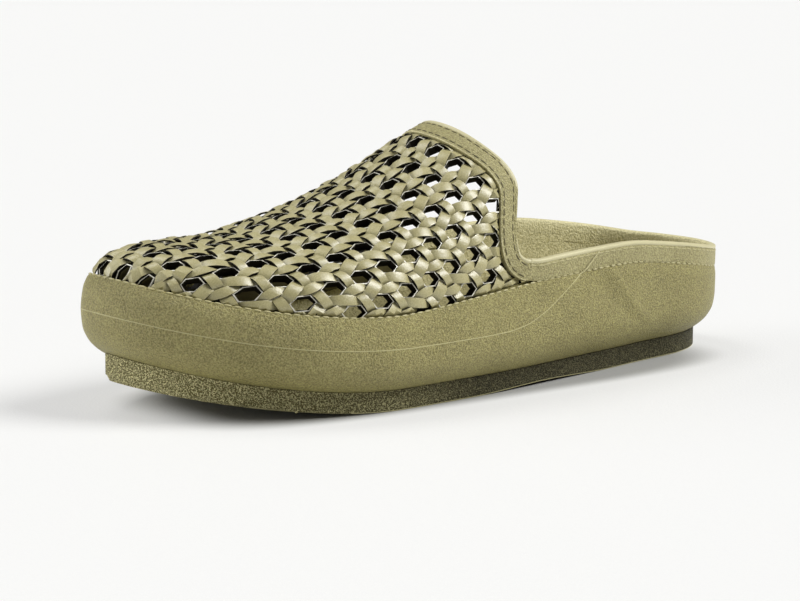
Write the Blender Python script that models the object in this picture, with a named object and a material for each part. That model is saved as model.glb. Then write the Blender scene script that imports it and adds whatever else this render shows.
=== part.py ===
"""Woven mule for the left foot: outsole, cup sole, insole, woven upper and collar.

Axes: +X toward the toe, +Y toward the wearer's left, +Z up; the origin is on the floor
under the middle of the shoe. Sizes are written in millimetres and the meshes are in metres.
"""
import math
from collections import namedtuple

import bmesh
import bpy
import numpy as np

MM = 0.001
GAP = 0.3

# Overall sizes
LENGTH = 272.0
HALF = LENGTH / 2.0
TOE_SPRING = 12.4
SPRING_START = 0.66
ARCH_RISE = 1.0
ARCH_START = 0.27
ARCH_LENGTH = 0.28
RING_COUNT = 80
FINE_COUNT = 720

# Plan of the widest outline: share of the length from the heel, left and right half widths
PLAN = {
    "station": [0.00, 0.12, 0.30, 0.50, 0.70, 1.00],
    "left": [30.7, 31.4, 39.8, 48.7, 52.3, 42.9],
    "right": [37.5, 38.2, 38.0, 42.0, 48.8, 42.4],
}
HEEL_CAP_STATION = 0.16
TOE_CAP_STATION = 0.66
HEEL_CAP_POWER = 1.95
TOE_POWER_LEFT = 2.13
TOE_POWER_RIGHT = 2.6
# Middle line that the rounded heel and toe close on
MIDDLE = {"station": [0.0, 0.30, 0.70, 1.0], "side": [-3.4, -1.5, -4.9, -13.9]}

# Outsole
OUTSOLE_HEIGHT = 7.2
OUTSOLE_INSET = 8.2
OUTSOLE_CHAMFER = 0.9

# Cup sole: the seam is its top edge, where the stitched line runs
SEAM = {
    "station": [0.0, 0.05, 0.12, 0.28, 0.42, 0.55, 0.70, 0.85, 1.0],
    "height": [30.6, 32.0, 35.4, 40.6, 39.8, 37.0, 34.2, 34.4, 35.6],
}
# Sidewall from the seam down: share of the drop, and how far it lies inside the widest outline
SIDEWALL = {
    "drop": [0.0, 0.17, 0.44, 0.65, 0.82, 0.945, 1.0],
    "heel_inset": [0.6, 0.1, 0.2, 0.9, 3.0, 6.2, 8.4],
    "toe_inset": [2.8, 0.85, 0.0, 0.5, 2.5, 5.8, 8.3],
}
# Stations over which the heel's sidewall turns into the front's
FRONT_START = 0.30
FRONT_LENGTH = 0.25
LIP_HEEL = 3.4
LIP_FRONT = 1.3
LIP_STRAIGHT = 10.0
FLOOR_DRAW = 1.0
FLOOR = {"station": [0.0, 0.35, 0.6, 1.0], "height": [15.0, 14.5, 12.0, 12.0]}

# Insole
FOOTBED = {
    "station": [0.0, 0.12, 0.30, 0.45, 0.65, 1.0],
    "middle": [21.5, 21.0, 22.5, 21.5, 17.5, 16.5],
    "left_rise": [3.5, 3.0, 2.0, 1.5, 1.0, 0.8],
    "right_rise": [3.5, 3.0, 4.5, 4.0, 1.0, 0.8],
}
FOOTBED_EDGE_POWER = 2.5
INSOLE_STEPS = 6

# Upper: crown of the vamp from the throat to where the toe rounds off
CROWN = {
    "x": [-24.0, -14.0, 0.0, 26.0, 46.0, 66.0, 84.0],
    "height": [97.3, 95.0, 90.8, 76.7, 67.3, 61.0, 57.2],
    "side": [-3.0, -3.2, -3.8, -5.4, -7.0, -8.8, -10.5],
}
TOE_ROUND_POWER = 3.4
SECTION_POWER_THROAT = 2.0
SECTION_POWER_TOE = 2.5
SECTION_TURN_X = 10.0
SECTION_TURN_LENGTH = 60.0
CROWN_DATUM = -14.0
TIP_ZONE = 1.5
TIP_STEP = 0.02
WALL = 2.4
SEAT_GAP = 0.5
BASE_DROP = 2.0
MARGIN = 7.0
# Throat's edge: distance across from the middle plane, and its position along the shoe
THROAT = {
    "across": [0.0, 8.0, 20.0, 30.0, 37.0, 44.0, 51.0, 58.0],
    "x": [3.7, 3.0, 0.2, -3.8, -5.7, -3.8, -0.9, 0.3],
}
BACK_GAP = 0.6
LEG_RADIUS = 13.0
LEG_PROBE = 20.0

# Weave: holes stand on a grid along and across the vamp, bowed back at the sides
HOLE_PITCH_ALONG = 11.55
HOLE_PITCH_ACROSS = 10.95
HOLE_PHASE_ALONG = 93.4
HOLE_PHASE_ACROSS = -0.3
BOW = 0.0055
# At the toe the rows lean to the inner side and the columns fan out round the tip
TOE_LEAN = 0.42
TOE_LEAN_START = 3.0
TOE_LEAN_LENGTH = 1.6
TOE_FAN = 0.3
TOE_FAN_START = 4.0
TOE_FAN_LENGTH = 1.0
TOE_FAN_MIDDLE = 0.2
TOE_FAN_REACH = 1.5
HOLE_HALF_LENGTH = 0.26
HOLE_HALF_EDGE = 0.125
HOLE_HALF_POINT = 0.245
STRIP_HALF_EDGE = 0.17
HOLE_TO_COLLAR = 1.2
HOLE_TO_SEAM = 1.2
STRIP_RISE = 0.9
CROSSING_RISE = 1.1
RISE_FADE = 3.0
THROAT_SNAP = 0.8
WEAVE_COLUMNS = range(-34, 30)
WEAVE_ROWS = range(-21, 23)

# Collar band round the whole foot opening
BAND_WIDTH = 7.6
BAND_GAP = 0.4
LEG_CLEAR = 1.2
BAND_PROUD = 0.7
BAND_STEPS = 64
BAND_LEG_SHARES = [0.17, 0.34, 0.5, 0.64, 0.76, 0.88, 1.0]
BAND_LEG_TURNS = [30.0, 60.0, 82.0]
BAND_THROAT = [(-1.0, BAND_LEG_SHARES), (1.0, [0.0] + BAND_LEG_SHARES)]
BAND_HEEL_STATIONS = [0.44, 0.40, 0.33, 0.25, 0.17, 0.10, 0.05, 0.018, 0.0]
# Section of the band: share of its width from the seam, and depth below its outer face
BAND_SECTION = {
    "across": [0.0, 0.10, 0.50, 0.90, 1.0, 1.0, 0.90, 0.0],
    "depth": [0.5, 0.0, -0.5, 0.1, 1.0, 2.5, 3.4, 3.4],
}

OLIVE_SIDE = (0.150, 0.125, 0.048, 1.0)
OLIVE_WEAVE = (0.185, 0.155, 0.060, 1.0)
OLIVE_DARK = (0.095, 0.078, 0.030, 1.0)

WeaveNode = namedtuple("WeaveNode", "place rise to_seam to_back behind ahead")


def smooth(x, table_x, table_y):
    """Monotone cubic curve through a table."""
    xs = np.asarray(table_x, float)
    ys = np.asarray(table_y, float)
    x = np.clip(np.asarray(x, float), xs[0], xs[-1])
    step = np.diff(xs)
    slope = np.diff(ys) / step
    tangent = np.zeros_like(ys)
    tangent[0] = slope[0]
    tangent[-1] = slope[-1]
    for k in range(1, len(xs) - 1):
        if slope[k - 1] * slope[k] > 0:
            tangent[k] = 2.0 * slope[k - 1] * slope[k] / (slope[k - 1] + slope[k])
    k = np.clip(np.searchsorted(xs, x, side="right") - 1, 0, len(xs) - 2)
    u = (x - xs[k]) / step[k]
    rise = (3.0 * u**2 - 2.0 * u**3) * (ys[k + 1] - ys[k])
    ease = step[k] * ((u - 2.0 * u**2 + u**3) * tangent[k] + (u**3 - u**2) * tangent[k + 1])
    return ys[k] + rise + ease


def spring(station):
    """Lift of the sole toward the toe."""
    return TOE_SPRING * np.clip((station - SPRING_START) / (1.0 - SPRING_START), 0.0, None) ** 2


def seam_height(station):
    """Height of the seam at the top of the sidewall."""
    return smooth(station, SEAM["station"], SEAM["height"]) + spring(station)


def front_share(station):
    """0 at the heel, 1 from the vamp forward."""
    return np.clip((station - FRONT_START) / FRONT_LENGTH, 0.0, 1.0)


def seam_inset(station):
    """Inset of the sidewall's top edge from the widest outline."""
    share = front_share(station)
    return SIDEWALL["heel_inset"][0] * (1.0 - share) + SIDEWALL["toe_inset"][0] * share


def lip_inset(station):
    """Inset of the cup's inner face from the widest outline."""
    share = front_share(station)
    return seam_inset(station) + LIP_HEEL * (1.0 - share) + LIP_FRONT * share


def outline(inset, count=RING_COUNT):
    """Plan outline from the heel along the left to the toe and back along the right.

    inset is one distance or a function of the station. Returns x, y and station.
    """
    turn = np.linspace(0.0, 2.0 * math.pi, FINE_COUNT, endpoint=False)
    station = 0.5 - 0.5 * np.cos(turn)
    on_left = turn <= math.pi
    left = smooth(station, PLAN["station"], PLAN["left"])
    right = smooth(station, PLAN["station"], PLAN["right"])
    middle = smooth(station, MIDDLE["station"], MIDDLE["side"])
    heel = np.clip((HEEL_CAP_STATION - station) / HEEL_CAP_STATION, 0.0, 1.0)
    toe = np.clip((station - TOE_CAP_STATION) / (1.0 - TOE_CAP_STATION), 0.0, 1.0)
    fullness = np.clip(1.0 - heel**HEEL_CAP_POWER, 0.0, 1.0) ** (1.0 / HEEL_CAP_POWER)
    toe_power = np.where(on_left, TOE_POWER_LEFT, TOE_POWER_RIGHT)
    fullness *= np.clip(1.0 - toe**toe_power, 0.0, 1.0) ** (1.0 / toe_power)
    edge = np.where(on_left, left, -right)
    x = station * LENGTH - HALF
    y = middle + (edge - middle) * fullness
    y -= (y.max() + y.min()) / 2.0
    along_x = np.roll(x, -1) - np.roll(x, 1)
    along_y = np.roll(y, -1) - np.roll(y, 1)
    size = np.hypot(along_x, along_y)
    distance = inset(station) if callable(inset) else inset
    pick = slice(None, None, FINE_COUNT // count)
    x = x + along_y / size * distance
    y = y - along_x / size * distance
    return x[pick], y[pick], station[pick]


def ring(inset, height, count=RING_COUNT):
    """Closed ring of points; height is a function of the station."""
    x, y, station = outline(inset, count)
    return np.stack([x, y, height(station)], axis=-1)


def loft(mesh, rings, closed=False):
    """Join neighbouring rings of equal length with quads and return their vertices."""
    rows = [[mesh.verts.new(point * MM) for point in points] for points in rings]
    pairs = list(zip(rows, rows[1:] + rows[:1])) if closed else list(zip(rows, rows[1:]))
    for low, high in pairs:
        for k in range(len(low)):
            n = (k + 1) % len(low)
            mesh.faces.new((low[k], low[n], high[n], high[k]))
    return rows


def ladder(mesh, row):
    """Close a ring with rungs from its left side to its right side."""
    count = len(row)
    mesh.faces.new((row[0], row[1], row[-1]))
    for k in range(1, count // 2 - 1):
        mesh.faces.new((row[k], row[k + 1], row[count - k - 1], row[count - k]))
    middle = count // 2
    mesh.faces.new((row[middle - 1], row[middle], row[middle + 1]))


def add_part(mesh, name, colour, roughness):
    """Turn a bmesh into a named object with its own material."""
    bmesh.ops.recalc_face_normals(mesh, faces=mesh.faces)
    if mesh.calc_volume(signed=True) < 0.0:
        bmesh.ops.reverse_faces(mesh, faces=mesh.faces)
    data = bpy.data.meshes.new(name)
    mesh.to_mesh(data)
    mesh.free()
    part = bpy.data.objects.new(name, data)
    parts.objects.link(part)
    material = bpy.data.materials.new(name)
    material.use_nodes = True
    shader = material.node_tree.nodes["Principled BSDF"]
    shader.inputs["Base Color"].default_value = colour
    shader.inputs["Roughness"].default_value = roughness
    shader.inputs["Metallic"].default_value = 0.0
    data.materials.append(material)
    return part


def build_outsole():
    """Inset bottom plate with a near-vertical side, toe spring and a shallow arch."""
    def bottom(station):
        arch = np.clip((station - ARCH_START) / ARCH_LENGTH, 0.0, 1.0)
        return spring(station) + ARCH_RISE * np.sin(math.pi * arch) ** 2

    mesh = bmesh.new()
    rows = loft(mesh, [
        ring(OUTSOLE_INSET + OUTSOLE_CHAMFER, bottom),
        ring(OUTSOLE_INSET, lambda s: bottom(s) + OUTSOLE_CHAMFER),
        ring(OUTSOLE_INSET, lambda s: spring(s) + OUTSOLE_HEIGHT),
    ])
    ladder(mesh, rows[0])
    ladder(mesh, rows[-1])
    return add_part(mesh, "outsole", OLIVE_DARK, 0.85)


def cup_bottom(station):
    """Underside of the cup sole, just clear of the outsole."""
    return spring(station) + OUTSOLE_HEIGHT + GAP


def cup_floor(station):
    """Floor of the cup, under the insole."""
    return smooth(station, FLOOR["station"], FLOOR["height"]) + spring(station)


def build_cupsole():
    """Bulging sidewall, tucked in below, with a thin lip and a floor for the insole."""
    rings = []
    for drop, heel_inset, toe_inset in reversed(list(zip(*SIDEWALL.values()))):
        def inset(station):
            share = front_share(station)
            return heel_inset * (1.0 - share) + toe_inset * share

        def height(station):
            top = seam_height(station)
            return top - drop * (top - cup_bottom(station))

        rings.append(ring(inset, height))
    rings.append(ring(lip_inset, seam_height))
    rings.append(ring(lip_inset, lambda s: seam_height(s) - LIP_STRAIGHT))
    rings.append(ring(lambda s: lip_inset(s) + FLOOR_DRAW, cup_floor))
    mesh = bmesh.new()
    rows = loft(mesh, rings)
    ladder(mesh, rows[0])
    ladder(mesh, rows[-1])
    return add_part(mesh, "cupsole", OLIVE_SIDE, 0.6)


def build_insole():
    """Contoured footbed: heel seat, raised inner arch and a dished forefoot."""
    x, y, station = outline(lambda s: lip_inset(s) + FLOOR_DRAW + GAP)
    half = RING_COUNT // 2
    mesh = bmesh.new()
    sheets = []
    for is_top in (False, True):
        rows = []
        for k in range(1, half):
            row = []
            for step in range(INSOLE_STEPS + 1):
                share = step / INSOLE_STEPS
                if is_top:
                    side = 1.0 - 2.0 * share
                    rise = "left_rise" if side > 0 else "right_rise"
                    edge = smooth(station[k], FOOTBED["station"], FOOTBED[rise])
                    z = smooth(station[k], FOOTBED["station"], FOOTBED["middle"])
                    z += spring(station[k]) + edge * abs(side) ** FOOTBED_EDGE_POWER
                else:
                    z = cup_floor(station[k]) + GAP
                mate = RING_COUNT - k
                point = (
                    x[k] * (1.0 - share) + x[mate] * share,
                    y[k] * (1.0 - share) + y[mate] * share,
                    z,
                )
                row.append(mesh.verts.new([value * MM for value in point]))
            rows.append(row)
        for near, far in zip(rows, rows[1:]):
            for step in range(INSOLE_STEPS):
                mesh.faces.new((near[step], near[step + 1], far[step + 1], far[step]))
        sheets.append(rows)
    borders = []
    for rows in sheets:
        right_side = [row[-1] for row in rows]
        left_side = [row[0] for row in reversed(rows)]
        borders.append(rows[0][:-1] + right_side[:-1] + rows[-1][:0:-1] + left_side[:-1])
    low, high = borders
    for k in range(len(low)):
        n = (k + 1) % len(low)
        mesh.faces.new((low[k], low[n], high[n], high[k]))
    return add_part(mesh, "insole", OLIVE_SIDE, 0.75)


class Vamp:
    """Outer surface of the upper, measured along the crown and across each section."""

    def __init__(self):
        x, y, station = outline(lambda s: lip_inset(s) + SEAT_GAP, FINE_COUNT)
        self.front = x.max()
        toe = int(np.argmax(x))
        heel = int(np.argmin(x))
        self.left = (x[heel:toe + 1], y[heel:toe + 1])
        right_x = np.append(x[toe:], x[heel])
        right_y = np.append(y[toe:], y[heel])
        self.right = (right_x[::-1], right_y[::-1])
        self.tip_side = y[toe]
        self.rim = np.stack([x, y], axis=-1)
        rim_along = np.roll(self.rim, -1, axis=0) - np.roll(self.rim, 1, axis=0)
        rim_along /= np.linalg.norm(rim_along, axis=1)[:, None]
        self.rim_outward = np.stack([-rim_along[:, 1], rim_along[:, 0]], axis=-1)
        self.crown_x = np.linspace(CROWN["x"][0], self.front, 900)
        heights = [self.crown(value)[1] for value in self.crown_x]
        steps = np.hypot(np.diff(self.crown_x), np.diff(heights))
        self.crown_s = np.append(0.0, np.cumsum(steps))
        self.crown_s -= np.interp(CROWN_DATUM, self.crown_x, self.crown_s)
        self.leg_ends = {True: self.leg_end(1.0), False: self.leg_end(-1.0)}

    def base(self, x):
        """Height where the wall stands upright behind the lip."""
        return float(seam_height((x + HALF) / LENGTH)) - BASE_DROP

    def crown(self, x):
        """Side position and height of the crown at x."""
        last = CROWN["x"][-1]
        if x <= last:
            side = smooth(x, CROWN["x"], CROWN["side"])
            return float(side), float(smooth(x, CROWN["x"], CROWN["height"]))
        run = min((x - last) / (self.front - last), 1.0)
        side = CROWN["side"][-1] + (self.tip_side - CROWN["side"][-1]) * run
        base = self.base(self.front)
        fall = max(1.0 - run**TOE_ROUND_POWER, 0.0) ** (1.0 / TOE_ROUND_POWER)
        return side, base + (CROWN["height"][-1] - base) * fall

    def along(self, s):
        """Position x of a distance along the crown."""
        return float(np.interp(s, self.crown_s, self.crown_x))

    def section(self, x, is_left, count=48):
        """Half section at x from the crown to the upright margin, with its running length."""
        middle, top = self.crown(x)
        edge = float(np.interp(x, *(self.left if is_left else self.right)))
        base = min(self.base(x), top)
        share = np.clip((x - SECTION_TURN_X) / SECTION_TURN_LENGTH, 0.0, 1.0)
        power = SECTION_POWER_THROAT * (1.0 - share) + SECTION_POWER_TOE * share
        turn = np.linspace(0.0, math.pi / 2.0, count)
        y = middle + (edge - middle) * np.sin(turn) ** (2.0 / power)
        z = base + (top - base) * np.cos(turn) ** (2.0 / power)
        y = np.append(y, edge)
        z = np.append(z, base + BASE_DROP - MARGIN)
        length = np.append(0.0, np.cumsum(np.hypot(np.diff(y), np.diff(z))))
        return y, z, length

    def point(self, x, across):
        """Point at x, a distance across the section; also its distance to the seam.

        Distances are counted from the crown, which itself stands at its own side position.
        """
        reach = across - self.crown(x)[0]
        y, z, length = self.section(x, reach >= 0.0)
        to_seam = length[-2] - BASE_DROP - abs(reach)
        reach = min(abs(reach), length[-1])
        place = (x, float(np.interp(reach, length, y)), float(np.interp(reach, length, z)))
        return np.array(place), to_seam

    def outward(self, place, normal):
        """Direction away from the foot: level on the upright margin and at the toe's tip."""
        x, y, z = place
        if z > self.base(x) + GAP and x < self.front - TIP_ZONE:
            return normal
        nearest = np.argmin(np.hypot(self.rim[:, 0] - x, self.rim[:, 1] - y))
        return np.append(self.rim_outward[nearest], 0.0)

    def leg_end(self, side):
        """Distance across, on one side, at which the throat's edge runs into the seam."""
        spare = self.point(THROAT["x"][-1] - LEG_RADIUS, side * LEG_PROBE)[1]
        return LEG_PROBE + spare - LEG_CLEAR

    def back(self, across, gap=0.0):
        """Position x of the throat's edge, swept back round the leg's corner."""
        fall = max(abs(across) - self.leg_ends[across >= 0.0] + LEG_RADIUS, 0.0)
        run = math.sqrt(max((LEG_RADIUS + gap) ** 2 - fall**2, 0.0))
        return float(smooth(abs(across), THROAT["across"], THROAT["x"])) - LEG_RADIUS + run


def weave_vertex(column, row):
    """Place of a grid vertex in hole pitches, and how far the strip stands up there.

    Four columns and three rows make one cell: the hole's six corners and the strips round it.
    """
    cell, part = divmod(column + 1, 4)
    along = cell + (-HOLE_HALF_LENGTH, 0.0, HOLE_HALF_LENGTH, 0.5)[part]
    across_cell, level = divmod(row, 3)
    reach = (HOLE_HALF_EDGE, HOLE_HALF_POINT, HOLE_HALF_EDGE, STRIP_HALF_EDGE)[part]
    across = across_cell + (-0.5, -reach, reach)[level]
    if part == 3:
        rise = STRIP_RISE if level else CROSSING_RISE * (cell % 2)
    elif part == 1 and level == 0:
        rise = CROSSING_RISE
    else:
        rise = 0.0
    return along, across, rise


def weave_place(along, across):
    """Distances along the crown and across the vamp of a place given in hole pitches."""
    fan = np.clip((along - TOE_FAN_START) / TOE_FAN_LENGTH, 0.0, 1.0)
    lean = np.clip((along - TOE_LEAN_START) / TOE_LEAN_LENGTH, 0.0, 1.0)
    off_middle = np.clip(across - TOE_FAN_MIDDLE, -TOE_FAN_REACH, TOE_FAN_REACH)
    along = along - TOE_FAN * fan * off_middle
    across = across - TOE_LEAN * lean
    t = HOLE_PHASE_ACROSS + across * HOLE_PITCH_ACROSS
    s = HOLE_PHASE_ALONG + along * HOLE_PITCH_ALONG - BOW * t * t
    return s, t


def weave_grid(vamp):
    """Places of every grid vertex on the vamp, held within the throat's edge and the toe."""
    grid = {}
    for column in WEAVE_COLUMNS:
        for row in WEAVE_ROWS:
            along, across, rise = weave_vertex(column, row)
            s, t = weave_place(along, across)
            x = vamp.along(s)
            back = vamp.back(t, BACK_GAP)
            behind = x <= back + THROAT_SNAP
            x = back if behind else min(x, vamp.front - TIP_STEP)
            place, to_seam = vamp.point(x, t)
            ahead = s >= vamp.crown_s[-1]
            grid[column, row] = WeaveNode(place, rise, to_seam, x - back, behind, ahead)
    return grid


def is_open(grid, column, row):
    """True where a face of the grid is half of a hole that is clear of seam and collar."""
    part = (column + 1) % 4
    if row % 3 != 1 or part > 1:
        return False
    first = column - part
    nodes = [grid[first + step, row + side] for step in range(3) for side in range(2)]
    if any(node.ahead for node in nodes):
        return False
    return all(node.to_seam > HOLE_TO_SEAM and node.to_back > HOLE_TO_COLLAR for node in nodes)


def thicken(mesh, vamp):
    """Give a sheet its wall: an inner sheet joined to it all round every free edge."""
    faces = list(mesh.faces)
    edges = [edge for edge in mesh.edges if edge.is_boundary]
    inner = {}
    for vert in list(mesh.verts):
        outward = vamp.outward(np.array(vert.co) / MM, np.array(vert.normal))
        inner[vert] = mesh.verts.new(np.array(vert.co) - outward * WALL * MM)
    for edge in edges:
        first, last = edge.verts
        mesh.faces.new((first, last, inner[last], inner[first]))
    for face in faces:
        mesh.faces.new([inner[vert] for vert in reversed(face.verts)])


def build_upper(vamp):
    """Woven vamp: one wall with raised strips and through holes, open behind and below."""
    grid = weave_grid(vamp)
    mesh = bmesh.new()
    verts = {key: mesh.verts.new(node.place * MM) for key, node in grid.items()}
    for column in WEAVE_COLUMNS[:-1]:
        for row in WEAVE_ROWS[:-1]:
            keys = [(column, row), (column + 1, row), (column + 1, row + 1), (column, row + 1)]
            nodes = [grid[key] for key in keys]
            if all(node.behind for node in nodes) or all(node.ahead for node in nodes):
                continue
            if all(node.to_seam <= -MARGIN for node in nodes) or is_open(grid, column, row):
                continue
            mesh.faces.new([verts[key] for key in keys])
    mesh.normal_update()
    for key, vert in verts.items():
        node = grid[key]
        if vert.link_faces and node.to_back > RISE_FADE:
            fade = np.clip((node.to_seam - BASE_DROP) / RISE_FADE, 0.0, 1.0)
            vert.co += vert.normal * node.rise * fade * MM
    bmesh.ops.remove_doubles(mesh, verts=mesh.verts, dist=0.1 * MM)
    bmesh.ops.dissolve_degenerate(mesh, edges=mesh.edges, dist=0.05 * MM)
    wires = [edge for edge in mesh.edges if not edge.link_faces]
    bmesh.ops.delete(mesh, geom=wires, context="EDGES")
    loose = [vert for vert in mesh.verts if not vert.link_faces]
    bmesh.ops.delete(mesh, geom=loose, context="VERTS")
    mesh.normal_update()
    thicken(mesh, vamp)
    return add_part(mesh, "upper", OLIVE_WEAVE, 0.45)


def close_curve(values, steps):
    """Smooth closed curve through rows of values, sampled at equal shares of its chords."""
    values = np.asarray(values, float)
    count = len(values)
    chord = np.linalg.norm(np.roll(values[:, :3], -1, axis=0) - values[:, :3], axis=1)
    reach = np.append(0.0, np.cumsum(chord))
    samples = []
    for target in np.linspace(0.0, reach[-1], steps, endpoint=False):
        k = min(int(np.searchsorted(reach, target, side="right")) - 1, count - 1)
        u = (target - reach[k]) / chord[k]
        before, here, after, last = (values[(k + d) % count] for d in (-1, 0, 1, 2))
        bend = 2.0 * before - 5.0 * here + 4.0 * after - last
        twist = 3.0 * here - before - 3.0 * after + last
        samples.append(here + 0.5 * u * (after - before + u * (bend + u * twist)))
    return np.array(samples)


def band_stations(vamp):
    """Rows of the collar's seam: place, direction across the band, and how proud it stands."""
    stations = []
    for side, shares in BAND_THROAT:
        end = vamp.leg_ends[side > 0.0]
        reaches = [share * (end - LEG_RADIUS) for share in shares]
        for turn in BAND_LEG_TURNS:
            reaches.append(end - LEG_RADIUS * (1.0 - math.sin(math.radians(turn))))
        for reach in sorted(reaches, key=lambda value: value * side):
            across = reach * side
            x = vamp.back(across)
            place = vamp.point(x, across)[0]
            rear = vamp.point(x - 1.0, across)[0] - place
            bend = np.clip((reach - end) / LEG_RADIUS + 1.0, 0.0, 1.0)
            direction = rear / np.linalg.norm(rear) * math.sqrt(1.0 - bend**2)
            direction = direction + np.array([0.0, 0.0, bend])
            station = (x + HALF) / LENGTH
            step = lip_inset(station) + SEAT_GAP - seam_inset(station)
            share = math.asin(bend) / (math.pi / 2.0)
            stations.append([*place, *direction, BAND_PROUD * (1.0 - share) + step * share])
    x, y, station = outline(seam_inset, FINE_COUNT)
    middle = FINE_COUNT // 2
    halves = (
        (np.arange(middle + 1), BAND_HEEL_STATIONS),
        (-np.arange(middle + 1), BAND_HEEL_STATIONS[-2::-1]),
    )
    for half, shares in halves:
        for share in shares:
            place = (
                float(np.interp(share, station[half], x[half])),
                float(np.interp(share, station[half], y[half])),
                float(seam_height(share)) + BAND_GAP,
            )
            stations.append([*place, 0.0, 0.0, 1.0, 0.0])
    return stations


def build_collar(vamp):
    """Smooth rounded band that runs round the throat and the heel rim in one loop."""
    curve = close_curve(band_stations(vamp), BAND_STEPS)
    place = curve[:, :3]
    tangent = np.roll(place, -1, axis=0) - np.roll(place, 1, axis=0)
    width = curve[:, 3:6] / np.linalg.norm(curve[:, 3:6], axis=1)[:, None]
    outward = np.cross(width, tangent)
    outward /= np.linalg.norm(outward, axis=1)[:, None]
    if np.sum((place - place.mean(axis=0)) * outward) < 0.0:
        outward = -outward
    rings = []
    for share, depth in zip(BAND_SECTION["across"], BAND_SECTION["depth"]):
        lift = curve[:, 6:7] - depth
        rings.append(place + width * share * BAND_WIDTH + outward * lift)
    mesh = bmesh.new()
    loft(mesh, rings, closed=True)
    return add_part(mesh, "collar", OLIVE_SIDE, 0.6)


def main():
    """Build every piece."""
    build_outsole()
    build_cupsole()
    build_insole()
    vamp = Vamp()
    build_upper(vamp)
    build_collar(vamp)


for old in list(bpy.data.objects):
    bpy.data.objects.remove(old)
parts = bpy.data.collections.new("woven_mule")
bpy.context.scene.collection.children.link(parts)
main()
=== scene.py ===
"""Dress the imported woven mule: foam sole, woven vamp, stitched collar, floor, light and camera.

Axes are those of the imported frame: +X toward the toe, +Y toward the wearer's left, +Z up.
Sizes are written in millimetres and become metres where a mesh is made.
"""
from __future__ import annotations

import logging
import math
from dataclasses import dataclass, field
from enum import Enum
from typing import Callable

import bpy
import numpy as np
from mathutils import Matrix

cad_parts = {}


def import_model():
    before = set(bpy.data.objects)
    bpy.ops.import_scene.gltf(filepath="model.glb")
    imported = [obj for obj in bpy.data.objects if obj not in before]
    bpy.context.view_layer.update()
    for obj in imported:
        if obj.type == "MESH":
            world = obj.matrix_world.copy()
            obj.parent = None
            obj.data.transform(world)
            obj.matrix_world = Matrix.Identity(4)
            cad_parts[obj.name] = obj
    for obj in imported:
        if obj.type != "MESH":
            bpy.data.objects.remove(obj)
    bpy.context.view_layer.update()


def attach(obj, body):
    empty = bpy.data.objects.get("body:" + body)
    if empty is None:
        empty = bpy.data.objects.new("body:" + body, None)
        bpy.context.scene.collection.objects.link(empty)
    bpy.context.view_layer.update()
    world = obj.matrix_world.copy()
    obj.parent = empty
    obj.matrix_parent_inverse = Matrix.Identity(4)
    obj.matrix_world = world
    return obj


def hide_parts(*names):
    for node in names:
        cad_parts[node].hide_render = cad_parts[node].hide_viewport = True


MM = 0.001
PHOTO_WIDTH = 800
SENSOR_WIDTH = 36.0
JOIN_REACH = 0.001
INWARD_SHARE = 0.4
BODY = "root"
Array = np.ndarray
Table = tuple[float, ...]
Faces = list[tuple[int, ...]]
Material = bpy.types.Material
Piece = bpy.types.Object
Socket = bpy.types.NodeSocket
Tree = bpy.types.NodeTree
log = logging.getLogger("woven_mule")


class Side(Enum):
    """Side of the shoe, seen by its wearer."""

    LEFT = 1.0
    RIGHT = -1.0


class Strip(Enum):
    """Visible runs of the woven strips, named for how they lie on the vamp."""

    DOME = "dome"
    LEAF = "leaf"
    FRONT_POST = "front post"
    REAR_POST = "rear post"
    RISING_BAR = "rising bar"
    FALLING_BAR = "falling bar"


class Grain(Enum):
    """Kind of moulded surface."""

    SANDBLASTED = "sandblasted"
    SATIN = "satin"
    PEBBLED = "pebbled"


def smooth(x: Array | float, table_x: Table, table_y: Table) -> Array:
    """Follow a monotone cubic curve through a table.

    Args:
        x: Places at which the curve is read.
        table_x: Rising places of the table.
        table_y: Values of the table.

    Returns:
        The curve's values at x.
    """
    xs = np.asarray(table_x, float)
    ys = np.asarray(table_y, float)
    x = np.clip(np.asarray(x, float), xs[0], xs[-1])
    step = np.diff(xs)
    slope = np.diff(ys) / step
    tangent = np.zeros_like(ys)
    tangent[0] = slope[0]
    tangent[-1] = slope[-1]
    for k in range(1, len(xs) - 1):
        if slope[k - 1] * slope[k] > 0:
            tangent[k] = 2.0 * slope[k - 1] * slope[k] / (slope[k - 1] + slope[k])
    k = np.clip(np.searchsorted(xs, x, side="right") - 1, 0, len(xs) - 2)
    u = (x - xs[k]) / step[k]
    rise = (3.0 * u**2 - 2.0 * u**3) * (ys[k + 1] - ys[k])
    ease = step[k] * ((u - 2.0 * u**2 + u**3) * tangent[k] + (u**3 - u**2) * tangent[k + 1])
    return ys[k] + rise + ease


def ramp(value: Array | float, low: float, high: float) -> Array:
    """Ease from 0 at low to 1 at high."""
    share = np.clip((np.asarray(value, float) - low) / (high - low), 0.0, 1.0)
    return share * share * (3.0 - 2.0 * share)


def unit(vectors: Array) -> Array:
    """Scale vectors to length 1."""
    size = np.linalg.norm(vectors, axis=-1, keepdims=True)
    return vectors / np.maximum(size, 1e-9)


def linear_colour(code: str) -> tuple[float, float, float, float]:
    """Turn an sRGB hex colour into a linear colour.

    Args:
        code: Six hex digits, with or without a leading #.

    Returns:
        Linear red, green, blue and an alpha of 1.
    """
    code = code.lstrip("#")
    channels = [int(code[k:k + 2], 16) / 255.0 for k in (0, 2, 4)]
    bent = [c / 12.92 if c <= 0.04045 else ((c + 0.055) / 1.055) ** 2.4 for c in channels]
    return (bent[0], bent[1], bent[2], 1.0)


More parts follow.
